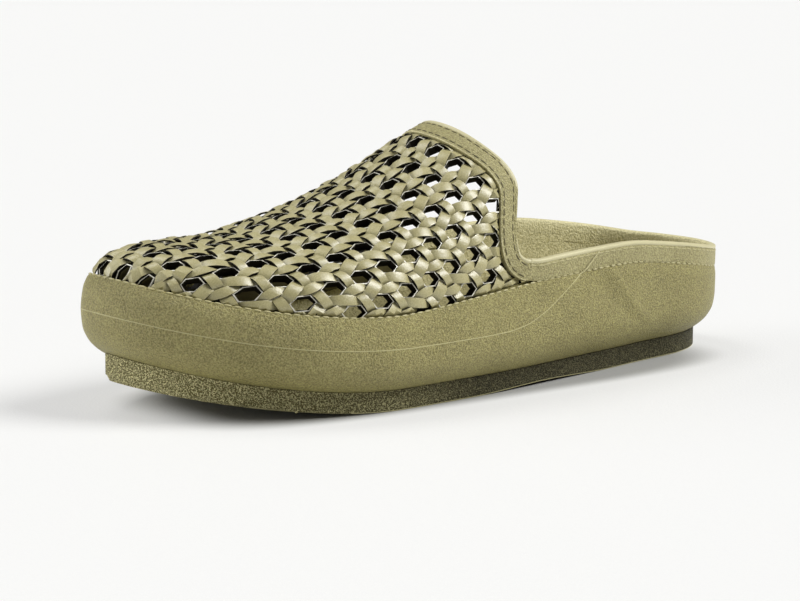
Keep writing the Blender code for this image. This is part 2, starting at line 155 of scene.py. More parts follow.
def add_node(
    tree: Tree,
    kind: str,
    settings: dict[str, object] | None = None,
    values: dict[str, object] | None = None,
    links: dict[str, Socket] | None = None,
) -> bpy.types.Node:
    """Add a node with its settings and links.

    Args:
        tree: Node tree that takes the node.
        kind: Blender's name of the node's class.
        settings: Attributes of the node.
        values: Default values of its input sockets.
        links: Sockets that feed its inputs.

    Returns:
        The new node.
    """
    node = tree.nodes.new(kind)
    for name, value in (settings or {}).items():
        setattr(node, name, value)
    for name, value in (values or {}).items():
        node.inputs[name].default_value = value
    for name, source in (links or {}).items():
        tree.links.new(source, node.inputs[name])
    return node


@dataclass(frozen=True)
class FoamFinish:
    """Moulded foam in one olive, with the grain that its mould left on it."""

    name: str
    light: str
    dark: str
    roughness: float
    grain: Grain
    grain_mm: float
    depth_mm: float
    mottle_mm: float = 22.0
    mottle_share: float = 0.35
    specular: float = 0.5
    speck_share: float = 0.45
    refraction: float = 1.49
    ramp_ends: tuple[float, float] = (0.18, 0.82)
    gloss_span: tuple[float, float] = (-0.05, 0.07)
    grain_span: tuple[float, float] = (0.34, 0.66)
    # Painted shade: where along the shoe the colour is darkest, where it is full, and the darkest share
    heel_shade: tuple[float, float, float] | None = None

    def make(self) -> Material:
        """Build the material.

        Returns:
            A node material: mottled colour, grain as bump and a roughness that follows it.
        """
        material = bpy.data.materials.new(self.name)
        material.use_nodes = True
        tree = material.node_tree
        shader = tree.nodes["Principled BSDF"]
        shader.inputs["IOR"].default_value = self.refraction
        shader.inputs["Specular IOR Level"].default_value = self.specular
        place = add_node(tree, "ShaderNodeTexCoord").outputs["Object"]
        height = self.height_socket(tree, place)
        mottle = add_node(
            tree, "ShaderNodeTexNoise",
            values={"Scale": 1.0 / (self.mottle_mm * MM), "Detail": 4.0, "Roughness": 0.6},
            links={"Vector": place},
        )
        blend = add_node(
            tree, "ShaderNodeMath", settings={"operation": "MULTIPLY_ADD"},
            values={1: self.mottle_share},
            links={0: mottle.outputs["Fac"], 2: self.speck(tree, height)},
        )
        colour = add_node(tree, "ShaderNodeValToRGB", links={"Fac": blend.outputs["Value"]})
        stops = zip(colour.color_ramp.elements, self.ramp_ends, (self.dark, self.light))
        for stop, position, code in stops:
            stop.position = position
            stop.color = linear_colour(code)
        # Painted shade: the colour may be darkened toward the heel
        tint = colour.outputs["Color"] if self.heel_shade is None else self.heel_shaded(tree, place, colour)
        tree.links.new(tint, shader.inputs["Base Color"])
        gloss = add_node(
            tree, "ShaderNodeMapRange",
            values={
                "To Min": self.roughness + self.gloss_span[0],
                "To Max": self.roughness + self.gloss_span[1]},
            links={"Value": height},
        )
        tree.links.new(gloss.outputs["Result"], shader.inputs["Roughness"])
        bump = add_node(
            tree, "ShaderNodeBump",
            values={"Strength": 1.0, "Distance": self.depth_mm * MM},
            links={"Height": height},
        )
        tree.links.new(bump.outputs["Normal"], shader.inputs["Normal"])
        return material

    def heel_shaded(self, tree: Tree, place: Socket, colour: bpy.types.Node) -> Socket:
        """Paint shade on the piece: darken its colour toward the heel and leave the toe at its full
        colour.

        Args:
            tree: Node tree of the material.
            place: Object coordinates.
            colour: Node that gives the colour before the painted shade.

        Returns:
            The socket that gives the colour with its painted shade.
        """
        heel, toe, shade = self.heel_shade
        along = add_node(tree, "ShaderNodeSeparateXYZ", links={"Vector": place})
        share = add_node(
            tree, "ShaderNodeMapRange",
            values={"From Min": heel * MM, "From Max": toe * MM, "To Min": shade, "To Max": 1.0},
            links={"Value": along.outputs["X"]},
        )
        heel_shaded = add_node(
            tree, "ShaderNodeVectorMath", settings={"operation": "SCALE"},
            links={0: colour.outputs["Color"], "Scale": share.outputs["Result"]},
        )
        return heel_shaded.outputs["Vector"]

    def speck(self, tree: Tree, height: Socket) -> Socket:
        """Let the grain's hollows read a little darker than its tops, about the same mean: partly the
        foam's own speckle, partly painted shade in the hollows.

        Args:
            tree: Node tree of the material.
            height: Height of the grain, 0 to 1.

        Returns:
            The socket that gives the grain's part of the blend.
        """
        offset = 0.5 * (1.0 - self.mottle_share - self.speck_share)
        share = add_node(
            tree, "ShaderNodeMath", settings={"operation": "MULTIPLY_ADD"},
            values={1: self.speck_share, 2: offset}, links={0: height},
        )
        return share.outputs["Value"]

    def height_socket(self, tree: Tree, place: Socket) -> Socket:
        """Build the grain's height.

        Args:
            tree: Node tree of the material.
            place: Object coordinates.

        Returns:
            The socket that gives the grain's height, 0 to 1.
        """
        scale = 1.0 / (self.grain_mm * MM)
        detail = {Grain.PEBBLED: 0.0, Grain.SANDBLASTED: 2.0}.get(self.grain, 3.0)
        noise = add_node(
            tree, "ShaderNodeTexNoise",
            values={"Scale": scale, "Detail": detail, "Roughness": 0.62},
            links={"Vector": place},
        )
        if self.grain not in (Grain.PEBBLED, Grain.SANDBLASTED):
            return noise.outputs["Fac"]
        return add_node(
            tree, "ShaderNodeMapRange",
            values={"From Min": self.grain_span[0], "From Max": self.grain_span[1]},
            links={"Value": noise.outputs["Fac"]},
        ).outputs["Result"]


@dataclass(frozen=True)
class Palette:
    """Finishes of the shoe."""

    # Foam cast in a sandblasted mould: even olive, a fine sparkle and a soft sheen
    side: FoamFinish = FoamFinish(
        "sandblasted_foam", "#b2a96c", "#6f6736", 0.46, Grain.SANDBLASTED, 0.6, 0.28, speck_share=0.55)
    # The same foam with a coarser mould skin on the collar band
    band: FoamFinish = FoamFinish(
        "band_foam", "#bdb580", "#7d7548", 0.46, Grain.SANDBLASTED, 0.66, 0.26)
    # Polished mould faces: the strips shine like satin ribbon
    weave: FoamFinish = FoamFinish(
        "satin_foam", "#c4bc8e", "#867e4c", 0.33, Grain.SATIN, 0.5, 0.12, specular=1.0, speck_share=0.7)
    # The wall under the strips, coloured near black as painted shade, so that the gaps between strips
    # read as deep shadow
    base: FoamFinish = FoamFinish(
        "painted_shade_wall_foam", "#221e10", "#151109", 0.6, Grain.SATIN, 0.5, 0.05, specular=0.2)
    # Inner face of the vamp, coloured darker than the foam as painted shade
    inside: FoamFinish = FoamFinish(
        "vamp_inner_painted_shade", "#6a633e", "#4a4428", 0.6, Grain.SATIN, 0.5, 0.05, specular=0.3)
    # Raised edge round every hole, coloured near white as a painted highlight
    rim: FoamFinish = FoamFinish(
        "painted_highlight_rim", "#f8f5e6", "#eae6d2", 0.35, Grain.SATIN, 0.5, 0.02)
    # Footbed skin, open and matt
    footbed: FoamFinish = FoamFinish(
        "footbed_foam", "#989062", "#746d45", 0.66, Grain.SANDBLASTED, 1.2, 0.4)
    # Pale finish: painted light on the inner face of the rim, and a painted highlight on the collar's
    # edge along the weave
    painted_light_lining: FoamFinish = FoamFinish(
        "painted_light_inner_skin", "#e6deae", "#aca472", 0.55, Grain.SANDBLASTED, 0.8, 0.16)
    # Rubbery outsole with the coarse pebble that shows on its side; its colour is darkened toward the
    # heel as painted shade
    tread: FoamFinish = FoamFinish(
        "pebbled_outsole", "#e2daa2", "#6c653a", 0.6, Grain.PEBBLED, 0.42, 0.7,
        specular=0.2, speck_share=0.8, heel_shade=(10.0, 118.0, 0.2))
    # Moulded thread, smooth and a little lighter
    thread: FoamFinish = FoamFinish(
        "moulded_thread", "#c2ba8a", "#9e966a", 0.42, Grain.SATIN, 0.4, 0.04)
    # Smooth roll at the opening's edge, paler than the band
    roll: FoamFinish = FoamFinish(
        "rolled_edge", "#d8d1a8", "#b2ab80", 0.4, Grain.SATIN, 0.4, 0.04)
    # Flash left by the mould's parting, thin and rubbed; the same pale finish is a painted highlight
    # along the outsole's bottom edge
    flash_and_edge_light: FoamFinish = FoamFinish(
        "parting_flash_and_edge_light", "#ccc594", "#aaa272", 0.45, Grain.SATIN, 0.4, 0.04)
    # Dashes of the collar: raised pieces coloured dark as the painted shade of incised grooves
    incised: FoamFinish = FoamFinish(
        "painted_groove_shade", "#6a633f", "#4d472a", 0.6, Grain.SATIN, 0.4, 0.04)


class Bench:
    """Workbench: the modelling steps that the pieces share."""

    @staticmethod
    def clear() -> None:
        """Leave edit mode and deselect everything."""
        if bpy.context.object is not None and bpy.context.object.mode != "OBJECT":
            bpy.ops.object.mode_set(mode="OBJECT")
        bpy.ops.object.select_all(action="DESELECT")

    @staticmethod
    def pick(piece: Piece) -> None:
        """Select one piece and make it active.

        Args:
            piece: Piece that is picked.
        """
        Bench.clear()
        piece.select_set(True)
        bpy.context.view_layer.objects.active = piece

    @staticmethod
    def open_all(piece: Piece) -> None:
        """Open one piece in edit mode with everything selected.

        Args:
            piece: Piece that is opened.
        """
        Bench.pick(piece)
        bpy.ops.object.mode_set(mode="EDIT")
        bpy.ops.mesh.select_all(action="SELECT")

    @staticmethod
    def tube(name: str, rings: Array, fill_ends: bool, join_ends: bool = False) -> Piece:
        """Extrude a circle ring by ring and shape every ring.

        Args:
            name: Name of the new piece.
            rings: Points in millimetres, one row for each ring.
            fill_ends: Close the first and the last ring with a face.
            join_ends: Points that lie on one another at the ends are merged.

        Returns:
            The new piece, with its faces pointing outwards.
        """
        Bench.clear()
        count = rings.shape[1]
        bpy.ops.mesh.primitive_circle_add(vertices=count, radius=MM)
        piece = bpy.context.object
        piece.name = name
        piece.data.name = name
        Bench.open_all(piece)
        for _ in range(len(rings) - 1):
            bpy.ops.mesh.extrude_region_move()
        bpy.ops.object.mode_set(mode="OBJECT")
        piece.data.vertices.foreach_set("co", (rings * MM).astype(np.float32).ravel())
        piece.data.update()
        Bench.open_all(piece)
        if join_ends:
            bpy.ops.mesh.remove_doubles(threshold=JOIN_REACH * MM)
        if fill_ends:
            bpy.ops.mesh.select_all(action="DESELECT")
            bpy.ops.mesh.select_mode(type="EDGE")
            bpy.ops.mesh.select_non_manifold()
            bpy.ops.mesh.edge_face_add()
        Bench.outwards(piece)
        return piece

    @staticmethod
    def sleeve(first: int, rows: int, around: int, capped: bool) -> Faces:
        """List the faces of a sleeve, whose rings of points are joined one to the next.

        Args:
            first: Number of its first vertex.
            rows: Number of its rings.
            around: Points in each ring.
            capped: A face closes each end. Otherwise the last ring joins the first.

        Returns:
            Corner numbers of every face, ring by ring, and the caps last.
        """
        faces: Faces = []
        for r in range(rows - 1 if capped else rows):
            low, high = first + r * around, first + (r + 1) % rows * around
            for k in range(around):
                n = (k + 1) % around
                faces.append((low + k, low + n, high + n, high + k))
        if capped:
            last = first + (rows - 1) * around
            faces.append(tuple(first + k for k in reversed(range(around))))
            faces.append(tuple(last + k for k in range(around)))
        return faces

    @staticmethod
    def joined(name: str, points: Array, faces: Faces) -> Piece:
        """Make one mesh from arrays, for shapes that repeat many times.

        Args:
            name: Name of the new piece.
            points: Points in millimetres.
            faces: Corner numbers of every face.

        Returns:
            The new piece.
        """
        mesh = bpy.data.meshes.new(name)
        mesh.from_pydata((points * MM).tolist(), [], faces)
        mesh.validate()
        piece = bpy.data.objects.new(name, mesh)
        bpy.context.scene.collection.objects.link(piece)
        return piece

    @staticmethod
    def outwards(piece: Piece) -> None:
        """Turn every face of a piece outwards.

        Args:
            piece: Piece whose faces are turned.
        """
        Bench.open_all(piece)
        bpy.ops.mesh.normals_make_consistent(inside=False)
        bpy.ops.object.mode_set(mode="OBJECT")

    @staticmethod
    def modify(piece: Piece, kind: str, **settings: object) -> None:
        """Add a modifier and apply it.

        Args:
            piece: Piece that is changed.
            kind: Blender's name of the modifier.
            settings: Attributes of the modifier.
        """
        Bench.pick(piece)
        modifier = piece.modifiers.new(kind.lower(), kind)
        for name, value in settings.items():
            setattr(modifier, name, value)
        bpy.ops.object.modifier_apply(modifier=modifier.name)

    @staticmethod
    def inlay(piece: Piece, material: Material, chosen: Array) -> None:
        """Dress some faces of a finished piece in a second material.

        Args:
            piece: Piece that is dressed.
            material: Second material.
            chosen: One truth value for each face.
        """
        piece.data.materials.append(material)
        number = len(piece.data.materials) - 1
        before = np.zeros(len(piece.data.polygons), dtype=np.int32)
        piece.data.polygons.foreach_get("material_index", before)
        piece.data.polygons.foreach_set("material_index", np.where(chosen, number, before))

    @staticmethod
    def face_table(piece: Piece, name: str) -> Array:
        """Read a vector of every face.

        Args:
            piece: Piece that is read.
            name: Which vector, center or normal.

        Returns:
            One row for each face: a place in metres, or a direction.
        """
        values = np.zeros(3 * len(piece.data.polygons), dtype=np.float32)
        piece.data.polygons.foreach_get(name, values)
        return values.reshape(-1, 3)

    @staticmethod
    def inner_faces(piece: Piece, spine: float) -> Array:
        """Find the upright faces that look toward the middle line of the shoe.

        Args:
            piece: Piece that is searched.
            spine: Half length of the middle line in millimetres.

        Returns:
            One truth value for each face.
        """
        centre = Bench.face_table(piece, "center") / MM
        inward = -centre[:, :2].copy()
        inward[:, 0] += np.clip(centre[:, 0], -spine, spine)
        facing = np.sum(unit(inward) * Bench.face_table(piece, "normal")[:, :2], axis=1)
        return facing > INWARD_SHARE

    @staticmethod
    def finish(
        piece: Piece,
        material: Material,
        slot: str,
        nodes: tuple[str, ...] = (),
        angle: float = 40.0,
    ) -> None:
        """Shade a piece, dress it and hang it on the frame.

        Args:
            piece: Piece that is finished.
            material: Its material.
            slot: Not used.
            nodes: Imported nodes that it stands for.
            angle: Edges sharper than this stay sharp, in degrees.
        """
        Bench.pick(piece)
        bpy.ops.object.shade_smooth_by_angle(angle=math.radians(angle))
        piece.data.materials.clear()
        piece.data.materials.append(material)
        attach(piece, BODY)
        if nodes:
            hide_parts(*nodes)
        log.info("%s: %d faces", piece.name, len(piece.data.polygons))


@dataclass(frozen=True)
class SoleForm:
    """Plan, seam and toe spring that every piece of the shoe is worked out from."""

    length: float = 272.0
    toe_spring: float = 12.4
    spring_start: float = 0.66
    fine_count: int = 720
    spine_reach: float = 0.86
    plan_station: Table = (0.00, 0.12, 0.30, 0.50, 0.70, 1.00)
    plan_left: Table = (30.7, 31.4, 39.8, 48.7, 52.3, 42.9)
    plan_right: Table = (37.5, 38.2, 38.0, 42.0, 48.8, 42.4)
    heel_cap_station: float = 0.16
    toe_cap_station: float = 0.66
    heel_cap_power: float = 1.95
    toe_power_left: float = 2.13
    toe_power_right: float = 2.6
    middle_station: Table = (0.0, 0.30, 0.70, 1.0)
    middle_side: Table = (-3.4, -1.5, -4.9, -13.9)
    seam_station: Table = (0.0, 0.05, 0.12, 0.28, 0.42, 0.55, 0.70, 0.85, 1.0)
    seam_level: Table = (30.6, 32.0, 35.4, 40.6, 39.8, 37.0, 34.2, 34.4, 35.6)
    front_start: float = 0.30
    front_length: float = 0.25
    seam_inset_heel: float = 0.6
    seam_inset_front: float = 2.8
    lip_heel: float = 3.4
    lip_front: float = 1.3

    def station(self, x: Array | float) -> Array:
        """Turn a place along the shoe into a share of its length from the heel."""
        return (np.asarray(x, float) + self.length / 2.0) / self.length

    def spring(self, station: Array | float) -> Array:
        """Lift of the sole toward the toe."""
        share = (np.asarray(station, float) - self.spring_start) / (1.0 - self.spring_start)
        return self.toe_spring * np.clip(share, 0.0, None) ** 2

    def seam_height(self, station: Array | float) -> Array:
        """Height of the seam at the top of the sidewall."""
        return smooth(station, self.seam_station, self.seam_level) + self.spring(station)

    def front_share(self, station: Array | float) -> Array:
        """Give 0 at the heel and 1 from the vamp forward."""
        return np.clip((np.asarray(station) - self.front_start) / self.front_length, 0.0, 1.0)

    def seam_inset(self, station: Array | float) -> Array:
        """Inset of the sidewall's top edge from the widest outline."""
        share = self.front_share(station)
        return self.seam_inset_heel * (1.0 - share) + self.seam_inset_front * share

    def lip_inset(self, station: Array | float) -> Array:
        """Inset of the cup's inner face from the widest outline."""
        share = self.front_share(station)
        return self.seam_inset(station) + self.lip_heel * (1.0 - share) + self.lip_front * share

    def outline(
        self, inset: Callable[[Array], Array] | float, count: int,
    ) -> tuple[Array, Array, Array]:
        """Work out the plan from the heel along the left to the toe and back along the right.

        Args:
            inset: Distance inside the widest outline, or a function of the station.
            count: Number of points, a divisor of fine_count.

        Returns:
            Arrays of x, y and station.
        """
        turn = np.linspace(0.0, 2.0 * math.pi, self.fine_count, endpoint=False)
        station = 0.5 - 0.5 * np.cos(turn)
        on_left = turn <= math.pi
        left = smooth(station, self.plan_station, self.plan_left)
        right = smooth(station, self.plan_station, self.plan_right)
        middle = smooth(station, self.middle_station, self.middle_side)
        heel = np.clip(1.0 - station / self.heel_cap_station, 0.0, 1.0)
        toe = np.clip((station - self.toe_cap_station) / (1.0 - self.toe_cap_station), 0.0, 1.0)
        heel_power = self.heel_cap_power
        toe_power = np.where(on_left, self.toe_power_left, self.toe_power_right)
        fullness = np.clip(1.0 - heel**heel_power, 0.0, 1.0) ** (1.0 / heel_power)
        fullness *= np.clip(1.0 - toe**toe_power, 0.0, 1.0) ** (1.0 / toe_power)
        x = station * self.length - self.length / 2.0
        y = middle + (np.where(on_left, left, -right) - middle) * fullness
        y -= (y.max() + y.min()) / 2.0
        along_x = np.roll(x, -1) - np.roll(x, 1)
        along_y = np.roll(y, -1) - np.roll(y, 1)
        size = np.hypot(along_x, along_y)
        distance = inset(station) if callable(inset) else inset
        x = x + along_y / size * distance
        y = y - along_x / size * distance
        step = self.fine_count // count
        return x[::step], y[::step], station[::step]

    def ring(
        self,
        inset: Callable[[Array], Array] | float,
        height: Callable[[Array], Array],
        count: int,
    ) -> Array:
        """Give one closed ring of points, with a height for each station."""
        x, y, station = self.outline(inset, count)
        return np.stack([x, y, height(station)], axis=-1)

    def towards_spine(self, ring: Array, share: float) -> Array:
        """Draw a ring in toward the line down its middle.

        Args:
            ring: Points of the ring.
            share: 1 keeps the ring and 0 puts it on its middle line.

        Returns:
            The drawn-in ring, at the old heights.
        """
        opposite = -np.arange(len(ring)) % len(ring)
        spine = 0.5 * (ring + ring[opposite])
        spine[:, 0] *= self.spine_reach
        drawn = spine + (ring - spine) * share
        drawn[:, 2] = ring[:, 2]
        return drawn


@dataclass(frozen=True)
class StitchRow:
    """Row of moulded stitches: short round dashes laid along a path."""

    length: float = 2.5
    pitch: float = 3.35
    radius: float = 0.4
    flatness: float = 0.75
    around: int = 8
    stations: Table = (-1.0, -0.86, -0.5, 0.0, 0.5, 0.86, 1.0)
    girth: Table = (0.12, 0.62, 0.95, 1.0, 0.95, 0.62, 0.12)

    def build(self, name: str, path: Array, normal: Array, closed: bool) -> Piece:
        """Lay stitches along a path.

        Args:
            name: Name of the new piece.
            path: Points in millimetres.
            normal: Direction away from the surface at each point.
            closed: The path runs back into its start.

        Returns:
            One joined mesh of all the stitches.
        """
        if closed:
            path = np.vstack([path, path[:1]])
            normal = np.vstack([normal, normal[:1]])
        reach = np.append(0.0, np.cumsum(np.linalg.norm(np.diff(path, axis=0), axis=1)))
        number = max(int(reach[-1] / self.pitch), 1)
        centres = (np.arange(number) + 0.5) * reach[-1] / number
        points: list[Array] = []
        faces: Faces = []
        turns = np.linspace(0.0, 2.0 * math.pi, self.around, endpoint=False)
        for centre in centres:
            where = centre + np.array(self.stations) * self.length / 2.0
            spot = np.stack([np.interp(where, reach, path[:, k]) for k in range(3)], axis=-1)
            out = unit(np.stack([np.interp(where, reach, normal[:, k]) for k in range(3)], axis=-1))
            along = unit(np.gradient(spot, axis=0))
            side = unit(np.cross(along, out))
            size = np.array(self.girth)[:, None, None] * self.radius
            round_side = side[:, None, :] * np.cos(turns)[None, :, None]
            round_out = out[:, None, :] * np.sin(turns)[None, :, None] * self.flatness
            rows = len(self.stations)
            faces += Bench.sleeve(len(points) * rows * self.around, rows, self.around, capped=True)
            points.append((spot[:, None, :] + size * (round_side + round_out)).reshape(-1, 3))
        piece = Bench.joined(name, np.vstack(points), faces)
        Bench.outwards(piece)
        return piece


@dataclass(frozen=True)
class Outsole:
    """Inset bottom plate: flat under heel and ball, sprung at the toe, pebbled all over."""

    form: SoleForm
    height: float = 7.35
    inset: float = 8.2
    chamfer: float = 0.4
    chamfer_steps: tuple[tuple[float, float], ...] = ((0.25, 0.35), (0.0, 1.0))
    side_shares: Table = (0.3, 0.65, 1.0)
    edge_start: float = 0.1
    arch_rise: float = 1.0
    arch_start: float = 0.27
    arch_length: float = 0.28
    count: int = 240
    inner_shares: Table = (0.0, 0.12, 0.3, 0.5, 0.7, 0.86, 0.95)
    pip_station: Table = (0.826, 0.900, 0.949, 0.968)
    pip_radius: float = 0.55
    pip_share: float = 0.8

    def bottom(self, station: Array) -> Array:
        """Height of the tread, with its shallow arch."""
        arch = np.clip((station - self.arch_start) / self.arch_length, 0.0, 1.0)
        return self.form.spring(station) + self.arch_rise * np.sin(math.pi * arch) ** 2

    def build(self, material: Material, flash_and_edge_light: Material) -> None:
        """Model the plate and its moulding pips.

        Args:
            material: Finish of the outsole.
            flash_and_edge_light: Finish of the pips, and a painted highlight along its bottom edge.
        """
        form = self.form
        edge = form.ring(self.inset + self.chamfer, self.bottom, self.count)
        rings = [form.towards_spine(edge, share) for share in self.inner_shares]
        for ring in rings:
            ring[:, 2] = self.bottom(form.station(ring[:, 0]))
        rings.append(edge)
        for inset, rise in self.chamfer_steps:
            rings.append(form.ring(
                self.inset + self.chamfer * inset,
                lambda s, r=rise: self.bottom(s) + self.chamfer * r, self.count))
        for share in self.side_shares:
            rings.append(form.ring(
                self.inset, lambda s, k=share: self.side_height(s, k), self.count))
        top = rings[-1]
        rings += [form.towards_spine(top, share) for share in reversed(self.inner_shares)]
        piece = Bench.tube("outsole_plate", np.array(rings), fill_ends=False, join_ends=True)
        Bench.finish(piece, material, "outsole_rubber", ("outsole",))
        centre = Bench.face_table(piece, "center") / MM
        rise = centre[:, 2] - self.bottom(form.station(centre[:, 0]))
        # Painted highlight: the faces of the bottom chamfer take the pale flash finish
        Bench.inlay(piece, flash_and_edge_light, (rise > self.edge_start * self.chamfer) & (rise < self.chamfer))
        self.build_pips(flash_and_edge_light)

    def side_height(self, station: Array, share: float) -> Array:
        """Height on the plate's side, from its chamfer to its top."""
        low = self.bottom(station) + self.chamfer
        return low + (self.form.spring(station) + self.height - low) * share

    def build_pips(self, flash_and_edge_light: Material) -> None:
        """Set the small moulding pips on the bottom edge, round the outer side of the toe.

        Args:
            flash_and_edge_light: Finish of the pips.
        """
        x, y, station = self.form.outline(
            self.inset + self.chamfer * self.pip_share, self.form.fine_count)
        half = self.form.fine_count // 2
        Bench.clear()
        pips = []
        for share in self.pip_station:
            k = int(np.argmin(np.abs(station[:half] - share)))
            place = (x[k] * MM, y[k] * MM, float(self.bottom(station[k])) * MM)
            bpy.ops.mesh.primitive_uv_sphere_add(
                segments=10, ring_count=6, radius=self.pip_radius * MM, location=place)
            pips.append(bpy.context.object)
        Bench.clear()
        for pip in pips:
            pip.select_set(True)
        bpy.context.view_layer.objects.active = pips[0]
        bpy.ops.object.join()
        bpy.ops.object.transform_apply(location=True, rotation=True, scale=True)
        pips[0].name = "outsole_pips"
        Bench.finish(pips[0], flash_and_edge_light, "outsole_rubber")


@dataclass(frozen=True)
class CupSole:
    """Bulging sidewall with its lip, parting line, rope of stitches and heel crease."""

    form: SoleForm
    bottom: float = 7.5
    drop: Table = (0.0, 0.17, 0.44, 0.65, 0.82, 0.945, 1.0)
    heel_inset: Table = (0.6, 0.1, 0.2, 0.9, 3.0, 6.2, 8.4)
    toe_inset: Table = (2.8, 0.85, 0.0, 0.5, 2.5, 5.8, 8.3)
    edge_round: float = 0.5
    edge_steps: tuple[tuple[float, float], ...] = ((0.02, 1.0), (0.3, 0.28), (1.0, 0.0))
    lip_steps: tuple[tuple[float, float], ...] = ((0.25, 0.0), (0.0, 0.3))
    lip_straight: float = 10.0
    flange_inset: float = 0.2
    flange_height: float = 3.0
    flange_drop: float = 0.4
    under_draw: float = 12.0
    floor_draw: float = 1.0
    floor_reach: float = 14.0
    floor_station: Table = (0.0, 0.35, 0.6, 1.0)
    floor_level: Table = (15.0, 14.5, 12.0, 12.0)
    count: int = 720
    wall_rows: int = 34
    parting_station: Table = (0.329, 0.358, 0.401, 0.440, 0.477, 0.512, 0.564, 0.717, 0.844, 1.0)
    parting_level: Table = (47.2, 40.8, 34.0, 28.4, 24.9, 23.6, 23.3, 23.3, 23.1, 23.4)
    parting_width: float = 0.6
    parting_height: float = 0.12
    parting_root: float = 0.12
    parting_points: int = 260
    parting_ease: float = 1.35
    parting_blend: float = 0.6
    crease_x: Table = (-82.7, -71.9, -61.3, -55.5, -50.8)
    crease_z: Table = (14.4, 21.1, 30.8, 37.1, 41.6)
    crease_ridge: float = 0.6
    crease_trough: float = 0.4
    crease_front: float = 3.6
    crease_back: float = 1.5
    crease_slant: float = 0.72
    crease_fade: tuple[float, float] = (13.0, 24.0)
    trough_shift: float = 1.5
    parting_step: float = 0.8
    spine: float = 95.0
    level_probe: float = 5.0
    rope_inset: float = 0.12
    rope_front_inset: float = 0.25
    rope_front_level: float = 0.5
    rope_front_lift: float = 0.9
    stitch: StitchRow = field(default_factory=StitchRow)

    def wall_inset(self, station: Array, drop: Array | float) -> Array:
        """Inset of the sidewall at a share of the way down from the seam.

        Args:
            station: Shares of the length from the heel.
            drop: Share of the way down.

        Returns:
            Insets in millimetres.
        """
        share = self.form.front_share(station)
        heel = smooth(drop, self.drop, self.heel_inset)
        toe = smooth(drop, self.drop, self.toe_inset)
        return heel * (1.0 - share) + toe * share

    def wall_height(self, station: Array, drop: Array | float) -> Array:
        """Height of the sidewall at a share of the way down from the seam."""
        top = self.form.seam_height(station)
        return top - drop * (top - self.form.spring(station) - self.bottom)

    def crease(self, ring: Array, outward: Array) -> Array:
        """Press the soft heel crease into the outer side of a ring.

        Args:
            ring: Points of the sidewall.
            outward: Level direction away from the shoe at each point.

        Returns:
            The points with the crease's trough and ridge.
        """
        line_x = np.interp(ring[:, 2], self.crease_z, self.crease_x)
        across = (line_x - ring[:, 0]) * self.crease_slant
        fade = ramp(ring[:, 2], *self.crease_fade) * (ring[:, 1] > 0.0)
        reach = np.where(across < 0.0, self.crease_front, self.crease_back)
        swell = self.crease_ridge * np.exp(-(across / reach) ** 2)
        swell -= self.crease_trough * np.exp(-(across / self.crease_front + self.trough_shift) ** 2)
        return ring + outward * (swell * fade)[:, None]

    def build(
        self,
        material: Material,
        thread: Material,
        flash_and_edge_light: Material,
        painted_light_lining: Material,
    ) -> None:
        """Model the cup and what is moulded on it.

        Args:
            material: Finish of the sidewall.
            thread: Finish of the stitches.
            flash_and_edge_light: Finish of the parting line.
            painted_light_lining: Pale finish of the inner face, painted light.
        """
        form = self.form
        rings = [form.ring(
            lambda s: self.wall_inset(s, 1.0) + self.under_draw,
            lambda s: self.wall_height(s, 1.0), self.count)]
        for drop in np.linspace(1.0, 0.0, self.wall_rows)[:-1]:
            rings.append(form.ring(
                lambda s, d=drop: self.wall_inset(s, d),
                lambda s, d=drop: self.wall_height(s, d), self.count))
        edge = self.edge_round
        for out, down in self.edge_steps:
            rings.append(form.ring(
                lambda s, o=out: form.seam_inset(s) + o * edge,
                lambda s, d=down: form.seam_height(s) - d * edge, self.count))
        for back, down in self.lip_steps:
            rings.append(form.ring(
                lambda s, b=back: form.lip_inset(s) - b,
                lambda s, d=down: form.seam_height(s) - d, self.count))
        for rise, down in ((self.flange_height, self.flange_drop), (0.0, self.lip_straight)):
            rings.append(form.ring(
                lambda s: form.lip_inset(s) + self.flange_inset * (1.0 - form.front_share(s)),
                lambda s, r=rise, d=down: form.seam_height(s) + r * (1.0 - form.front_share(s)) - d,
                self.count))
        for draw in (self.floor_draw, self.floor_reach):
            rings.append(form.ring(
                lambda s, d=draw: form.lip_inset(s) + d, self.floor, self.count))
        outward = self.level_outward(self.count)
        shaped = [self.crease(ring, outward) if k <= self.wall_rows else ring
                  for k, ring in enumerate(rings)]
        piece = Bench.tube("cup_sidewall", np.array(shaped), fill_ends=True)
        Bench.finish(piece, material, "foam_side", ("cupsole",))
        # Painted light: the faces that look inward take the pale lining finish
        Bench.inlay(piece, painted_light_lining, Bench.inner_faces(piece, self.spine))
        self.build_parting(flash_and_edge_light)
        self.build_rope(thread)

    def floor(self, station: Array) -> Array:
        """Floor of the cup, under the footbed."""
        return smooth(station, self.floor_station, self.floor_level) + self.form.spring(station)

    def level_outward(self, count: int) -> Array:
        """Give the level direction away from the shoe at each point of a ring.

        Args:
            count: Number of points in the ring.

        Returns:
            One unit vector for each point.
        """
        inner = self.form.ring(self.level_probe, self.floor, count)[:, :2]
        outer = self.form.ring(0.0, self.floor, count)[:, :2]
        level = unit(outer - inner)
        return np.column_stack([level, np.zeros(len(level))])

